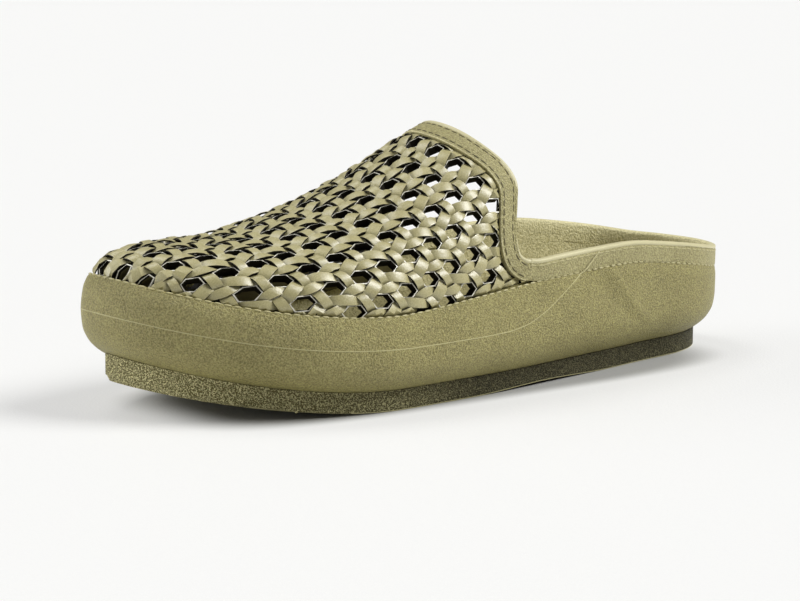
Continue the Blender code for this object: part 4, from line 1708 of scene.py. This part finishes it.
@dataclass(frozen=True)
class Collar:
    """Rolled band round the throat and the heel rim, with two rows of moulded stitches."""

    vamp: VampForm
    gap: float = 0.4
    proud: float = 0.7
    steps: int = 480
    leg_shares: Table = (0.17, 0.34, 0.5, 0.64, 0.76, 0.88, 1.0)
    leg_turns: Table = (30.0, 60.0, 82.0)
    heel_stations: Table = (0.44, 0.40, 0.33, 0.25, 0.17, 0.10, 0.05, 0.018, 0.0)
    section_across: Table = (
        -0.38, -0.37, -0.24, 0.05, 1.2, 2.4, 3.8, 5.2, 5.75, 6.0, 6.25,
        6.7, 7.15, 7.45, 7.6, 7.5, 7.1, 6.3, 3.0, -0.2,
    )
    section_depth: Table = (
        1.6, 0.2, 0.02, -0.04, -0.08, -0.12, -0.14, -0.1, -0.04, 0.08, -0.1,
        -0.16, 0.02, 0.5, 1.2, 2.1, 2.9, 3.3, 3.4, 3.4,
    )
    throat_spread: float = 0.13
    spread_rise: tuple[float, float] = (5.0, 30.0)
    throat_rise: float = 2.0
    edge_width: float = 0.1
    edge_depth: float = 0.25
    roll_start: float = 6.0
    spine: float = 95.0
    lower_row: float = 1.0
    upper_row: float = 5.2
    row_depth: float = -0.06
    stitch: StitchRow = StitchRow(length=2.9, pitch=3.6, radius=0.3)

    def stations(self) -> Array:
        """Rows of the band's seam: place, direction across the band, and how proud it stands.

        Returns:
            One row of seven numbers for each station.
        """
        vamp, form = self.vamp, self.vamp.form
        rows: list[list[float]] = []
        for side in (Side.RIGHT, Side.LEFT):
            end = vamp.leg_ends[side]
            shares = self.leg_shares if side is Side.RIGHT else (0.0,) + self.leg_shares
            reaches = [share * (end - vamp.leg_radius) for share in shares]
            for turn in self.leg_turns:
                reaches.append(end - vamp.leg_radius * (1.0 - math.sin(math.radians(turn))))
            for reach in sorted(reaches, key=lambda value: value * side.value):
                across = np.array([reach * side.value])
                x = vamp.back(across)
                place = vamp.points(x, across)[0]
                rear = vamp.points(x - 1.0, across)[0] - place
                bend = float(np.clip((reach - end) / vamp.leg_radius + 1.0, 0.0, 1.0))
                direction = unit(rear) * math.sqrt(1.0 - bend**2) + np.array([0.0, 0.0, bend])
                station = form.station(float(x[0]))
                step = float(form.lip_inset(station) + vamp.seat_gap - form.seam_inset(station))
                share = math.asin(bend) / (math.pi / 2.0)
                rows.append([*place, *direction, self.proud * (1.0 - share) + step * share])
        x, y, station = form.outline(form.seam_inset, form.fine_count)
        half = np.arange(form.fine_count // 2 + 1)
        for rows_of_side, shares in ((half, self.heel_stations), (-half, self.heel_stations[-2::-1])):
            for share in shares:
                rows.append([
                    float(np.interp(share, station[rows_of_side], x[rows_of_side])),
                    float(np.interp(share, station[rows_of_side], y[rows_of_side])),
                    float(form.seam_height(share)) + self.gap, 0.0, 0.0, 1.0, 0.0,
                ])
        return np.array(rows)

    def curve(self) -> tuple[Array, Array, Array, Array]:
        """Follow the band all round.

        Returns:
            Seam points, directions across the band, outward directions, and how proud it stands.
        """
        values = self.stations()
        count = len(values)
        chord = np.linalg.norm(np.roll(values[:, :3], -1, axis=0) - values[:, :3], axis=1)
        reach = np.append(0.0, np.cumsum(chord))
        target = np.linspace(0.0, reach[-1], self.steps, endpoint=False)
        k = np.clip(np.searchsorted(reach, target, side="right") - 1, 0, count - 1)
        u = ((target - reach[k]) / chord[k])[:, None]
        before, here, after, last = (values[(k + d) % count] for d in (-1, 0, 1, 2))
        bend = 2.0 * before - 5.0 * here + 4.0 * after - last
        twist = 3.0 * here - before - 3.0 * after + last
        rows = here + 0.5 * u * (after - before + u * (bend + u * twist))
        place = rows[:, :3]
        tangent = np.roll(place, -1, axis=0) - np.roll(place, 1, axis=0)
        across = unit(rows[:, 3:6])
        outward = unit(np.cross(across, tangent))
        if np.sum((place - place.mean(axis=0)) * outward) < 0.0:
            outward = -outward
        return place, across, outward, rows[:, 6:7]

    def build(
        self,
        material: Material,
        dashes: Material,
        thread: Material,
        roll: Material,
        painted_light_lining: Material,
    ) -> None:
        """Model the band, its roll and its stitches.

        Args:
            material: Finish of the band.
            dashes: Dark finish of the throat's dashes, painted shade of incised grooves.
            thread: Finish of the heel's stitches.
            roll: Finish of the roll at the opening's edge.
            painted_light_lining: Pale finish, painted light on the inner face and a painted highlight on
                the edge along the weave.
        """
        place, across, outward, proud = self.curve()
        seam = self.vamp.form.seam_height(self.vamp.form.station(place[:, 0]))
        spread = 1.0 + self.throat_spread * ramp(place[:, 2] - seam, *self.spread_rise)
        across = across * spread[:, None]
        rings = [
            place + across * reach + outward * (proud - depth)
            for reach, depth in zip(self.section_across, self.section_depth)
        ]
        rings.append(rings[0])
        piece = Bench.tube("collar_band", np.array(rings), fill_ends=False, join_ends=True)
        Bench.finish(piece, material, "foam_side", ("collar",), angle=60.0)
        centre = Bench.face_table(piece, "center") / MM
        near = np.array([int(np.argmin(np.sum((place - spot) ** 2, axis=1))) for spot in centre])
        offset = centre - place[near]
        width = np.sum(offset * unit(across[near]), axis=1)
        depth = proud[near, 0] - np.sum(offset * outward[near], axis=1)
        on_throat = place[:, 2] > seam + self.throat_rise
        edge = on_throat[near] & (width < self.edge_width) & (depth < self.edge_depth)
        Bench.inlay(piece, roll, width > self.roll_start * spread[near])
        # Painted light: the inner faces, and the band's edge along the weave as a painted highlight,
        # take the pale lining finish
        Bench.inlay(piece, painted_light_lining, Bench.inner_faces(piece, self.spine) | edge)
        upper = place + across * self.upper_row + outward * (proud - self.row_depth)
        lower = place + across * self.lower_row + outward * (proud - self.row_depth)
        throat, heel = self.run_of(on_throat), self.run_of(~on_throat)
        for name, path, order, finish in (
            ("collar_stitches_upper", upper, throat, dashes),
            ("collar_stitches_lower", lower, throat, dashes),
            ("collar_stitches_heel", upper, heel, thread),
        ):
            row = self.stitch.build(name, path[order], outward[order], closed=False)
            Bench.finish(row, finish, "foam_side", angle=60.0)

    @staticmethod
    def run_of(chosen: Array) -> Array:
        """Put the chosen stations of the closed band in order, from one end of their run.

        Args:
            chosen: One truth value for each station.

        Returns:
            Numbers of the chosen stations.
        """
        order = np.flatnonzero(chosen)
        gaps = np.flatnonzero(np.diff(order) > 1)
        return np.roll(order, -(gaps[0] + 1)) if len(gaps) else order


@dataclass(frozen=True)
class Studio:
    """Pale floor, soft light and a camera at the photograph's angle to the shoe."""

    yaw: float = 142.75
    pitch: float = 9.9
    roll: float = 0.28
    distance: float = 1061.2
    target: Table = (13.25, -2.03, 28.97)
    focal_pixels: float = 2921.8
    floor_size: float = 12.0
    floor_colour: str = "#a6a6a4"
    floor_roughness: float = 0.6
    # Glow of the floor is painted light: it lifts the cast shadow, and its mask round the shoe leaves a
    # painted contact shade
    shadow_lift_glow: float = 0.45
    contact_shade_half: Table = (118.0, 47.0, 100.0)
    glow_start: float = 0.7
    glow_end: float = 1.15
    tooth_scale: float = 900.0
    tooth_strength: float = 0.35
    tooth_depth: float = 0.4
    sky_strength: float = 0.18
    key_from: Table = (-0.55, 0.42, 0.74)
    key_strength: float = 3.3
    key_angle: float = 32.0
    fill_from: Table = (0.75, -0.6, 0.2)
    fill_strength: float = 2.2
    fill_angle: float = 50.0
    back_from: Table = (0.1, -0.45, 0.87)
    back_strength: float = 0.85
    back_angle: float = 25.0

    def build(self) -> None:
        """Set up floor, lights, sky and camera."""
        self.build_floor()
        self.build_lights()
        self.build_camera()

    def axes(self) -> tuple[Array, Array, Array]:
        """Give the camera's right, up and backward directions.

        Returns:
            Three unit vectors.
        """
        yaw, pitch, roll = (math.radians(v) for v in (self.yaw, self.pitch, self.roll))
        back = np.array([
            math.sin(yaw) * math.cos(pitch), -math.cos(yaw) * math.cos(pitch), math.sin(pitch)])
        right = np.array([math.cos(yaw), math.sin(yaw), 0.0])
        up = np.cross(back, right)
        turned = right * math.cos(roll) + up * math.sin(roll)
        return turned, up * math.cos(roll) - right * math.sin(roll), back

    def build_camera(self) -> None:
        """Place the camera."""
        right, up, back = self.axes()
        spot = (np.array(self.target) + back * self.distance) * MM
        camera = bpy.data.cameras.new("camera")
        camera.sensor_width = SENSOR_WIDTH
        camera.lens = self.focal_pixels * SENSOR_WIDTH / PHOTO_WIDTH
        camera.clip_start = 0.01
        holder = bpy.data.objects.new("camera", camera)
        bpy.context.scene.collection.objects.link(holder)
        turn = Matrix((right, up, back)).transposed().to_4x4()
        holder.matrix_world = Matrix.Translation(spot) @ turn
        bpy.context.scene.camera = holder

    def build_floor(self) -> None:
        """Lay the pale, slightly rough floor, whose glow is painted light: it lifts the cast shadow away
        from the shoe and fades to none under it.
        """
        Bench.clear()
        bpy.ops.mesh.primitive_plane_add(size=self.floor_size)
        floor = bpy.context.object
        floor.name = "floor"
        material = bpy.data.materials.new("pale_paper")
        material.use_nodes = True
        tree = material.node_tree
        shader = tree.nodes["Principled BSDF"]
        shader.inputs["Base Color"].default_value = linear_colour(self.floor_colour)
        shader.inputs["Roughness"].default_value = self.floor_roughness
        shader.inputs["Emission Color"].default_value = linear_colour("#ffffff")
        place = add_node(tree, "ShaderNodeTexCoord").outputs["Object"]
        scaled = add_node(
            tree, "ShaderNodeVectorMath", settings={"operation": "DIVIDE"},
            values={1: tuple(half * MM for half in self.contact_shade_half)}, links={0: place})
        square = add_node(
            tree, "ShaderNodeVectorMath", settings={"operation": "MULTIPLY"},
            links={0: scaled.outputs["Vector"], 1: scaled.outputs["Vector"]})
        reach = add_node(
            tree, "ShaderNodeVectorMath", settings={"operation": "LENGTH"},
            links={0: square.outputs["Vector"]})
        glow = add_node(
            tree, "ShaderNodeMapRange", settings={"interpolation_type": "SMOOTHSTEP"},
            values={"From Min": self.glow_start, "From Max": self.glow_end, "To Max": self.shadow_lift_glow},
            links={"Value": reach.outputs["Value"]})
        # Painted light: the floor glows away from the shoe and not under it
        tree.links.new(glow.outputs["Result"], shader.inputs["Emission Strength"])
        tooth = add_node(
            tree, "ShaderNodeTexNoise", values={"Scale": self.tooth_scale, "Detail": 3.0},
            links={"Vector": place})
        bump = add_node(
            tree, "ShaderNodeBump",
            values={"Strength": self.tooth_strength, "Distance": self.tooth_depth * MM},
            links={"Height": tooth.outputs["Fac"]})
        tree.links.new(bump.outputs["Normal"], shader.inputs["Normal"])
        floor.data.materials.append(material)

    def build_lights(self) -> None:
        """Light the shoe: a broad key behind the heel, a fill at the toe and a gloss from behind."""
        bpy.context.scene.view_settings.view_transform = "Standard"
        world = bpy.data.worlds.new("studio")
        world.use_nodes = True
        sky = world.node_tree.nodes["Background"]
        sky.inputs["Color"].default_value = linear_colour("#ffffff")
        sky.inputs["Strength"].default_value = self.sky_strength
        bpy.context.scene.world = world
        rows = (
            ("broad_key", self.key_from, self.key_strength, self.key_angle),
            ("toe_fill", self.fill_from, self.fill_strength, self.fill_angle),
            ("back_gloss", self.back_from, self.back_strength, self.back_angle),
        )
        for name, source, strength, angle in rows:
            lamp = bpy.data.lights.new(name, "SUN")
            lamp.energy = strength
            lamp.angle = math.radians(angle)
            holder = bpy.data.objects.new(name, lamp)
            bpy.context.scene.collection.objects.link(holder)
            back = unit(np.array(source))
            right = unit(np.cross((0.0, 1.0, 0.0), back))
            up = np.cross(back, right)
            holder.matrix_world = Matrix((right, up, back)).transposed().to_4x4()


def main() -> None:
    """Load the frame and build every piece in order."""
    logging.basicConfig(level=logging.INFO, format="%(name)s: %(message)s")
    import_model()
    Bench.clear()
    palette = Palette()
    form = SoleForm()
    vamp = VampForm(form)
    thread = palette.thread.make()
    cup = CupSole(form)
    flash_and_edge_light = palette.flash_and_edge_light.make()
    Outsole(form).build(palette.tread.make(), flash_and_edge_light)
    painted_light_lining = palette.painted_light_lining.make()
    cup.build(palette.side.make(), thread, flash_and_edge_light, painted_light_lining)
    Footbed(form).build(palette.footbed.make(), cup)
    WovenVamp(vamp).build(
        palette.weave.make(), palette.base.make(), palette.rim.make(), palette.inside.make())
    Collar(vamp).build(
        palette.band.make(), palette.incised.make(), thread, palette.roll.make(), painted_light_lining)
    Studio().build()


if __name__ == "__main__":
    main()
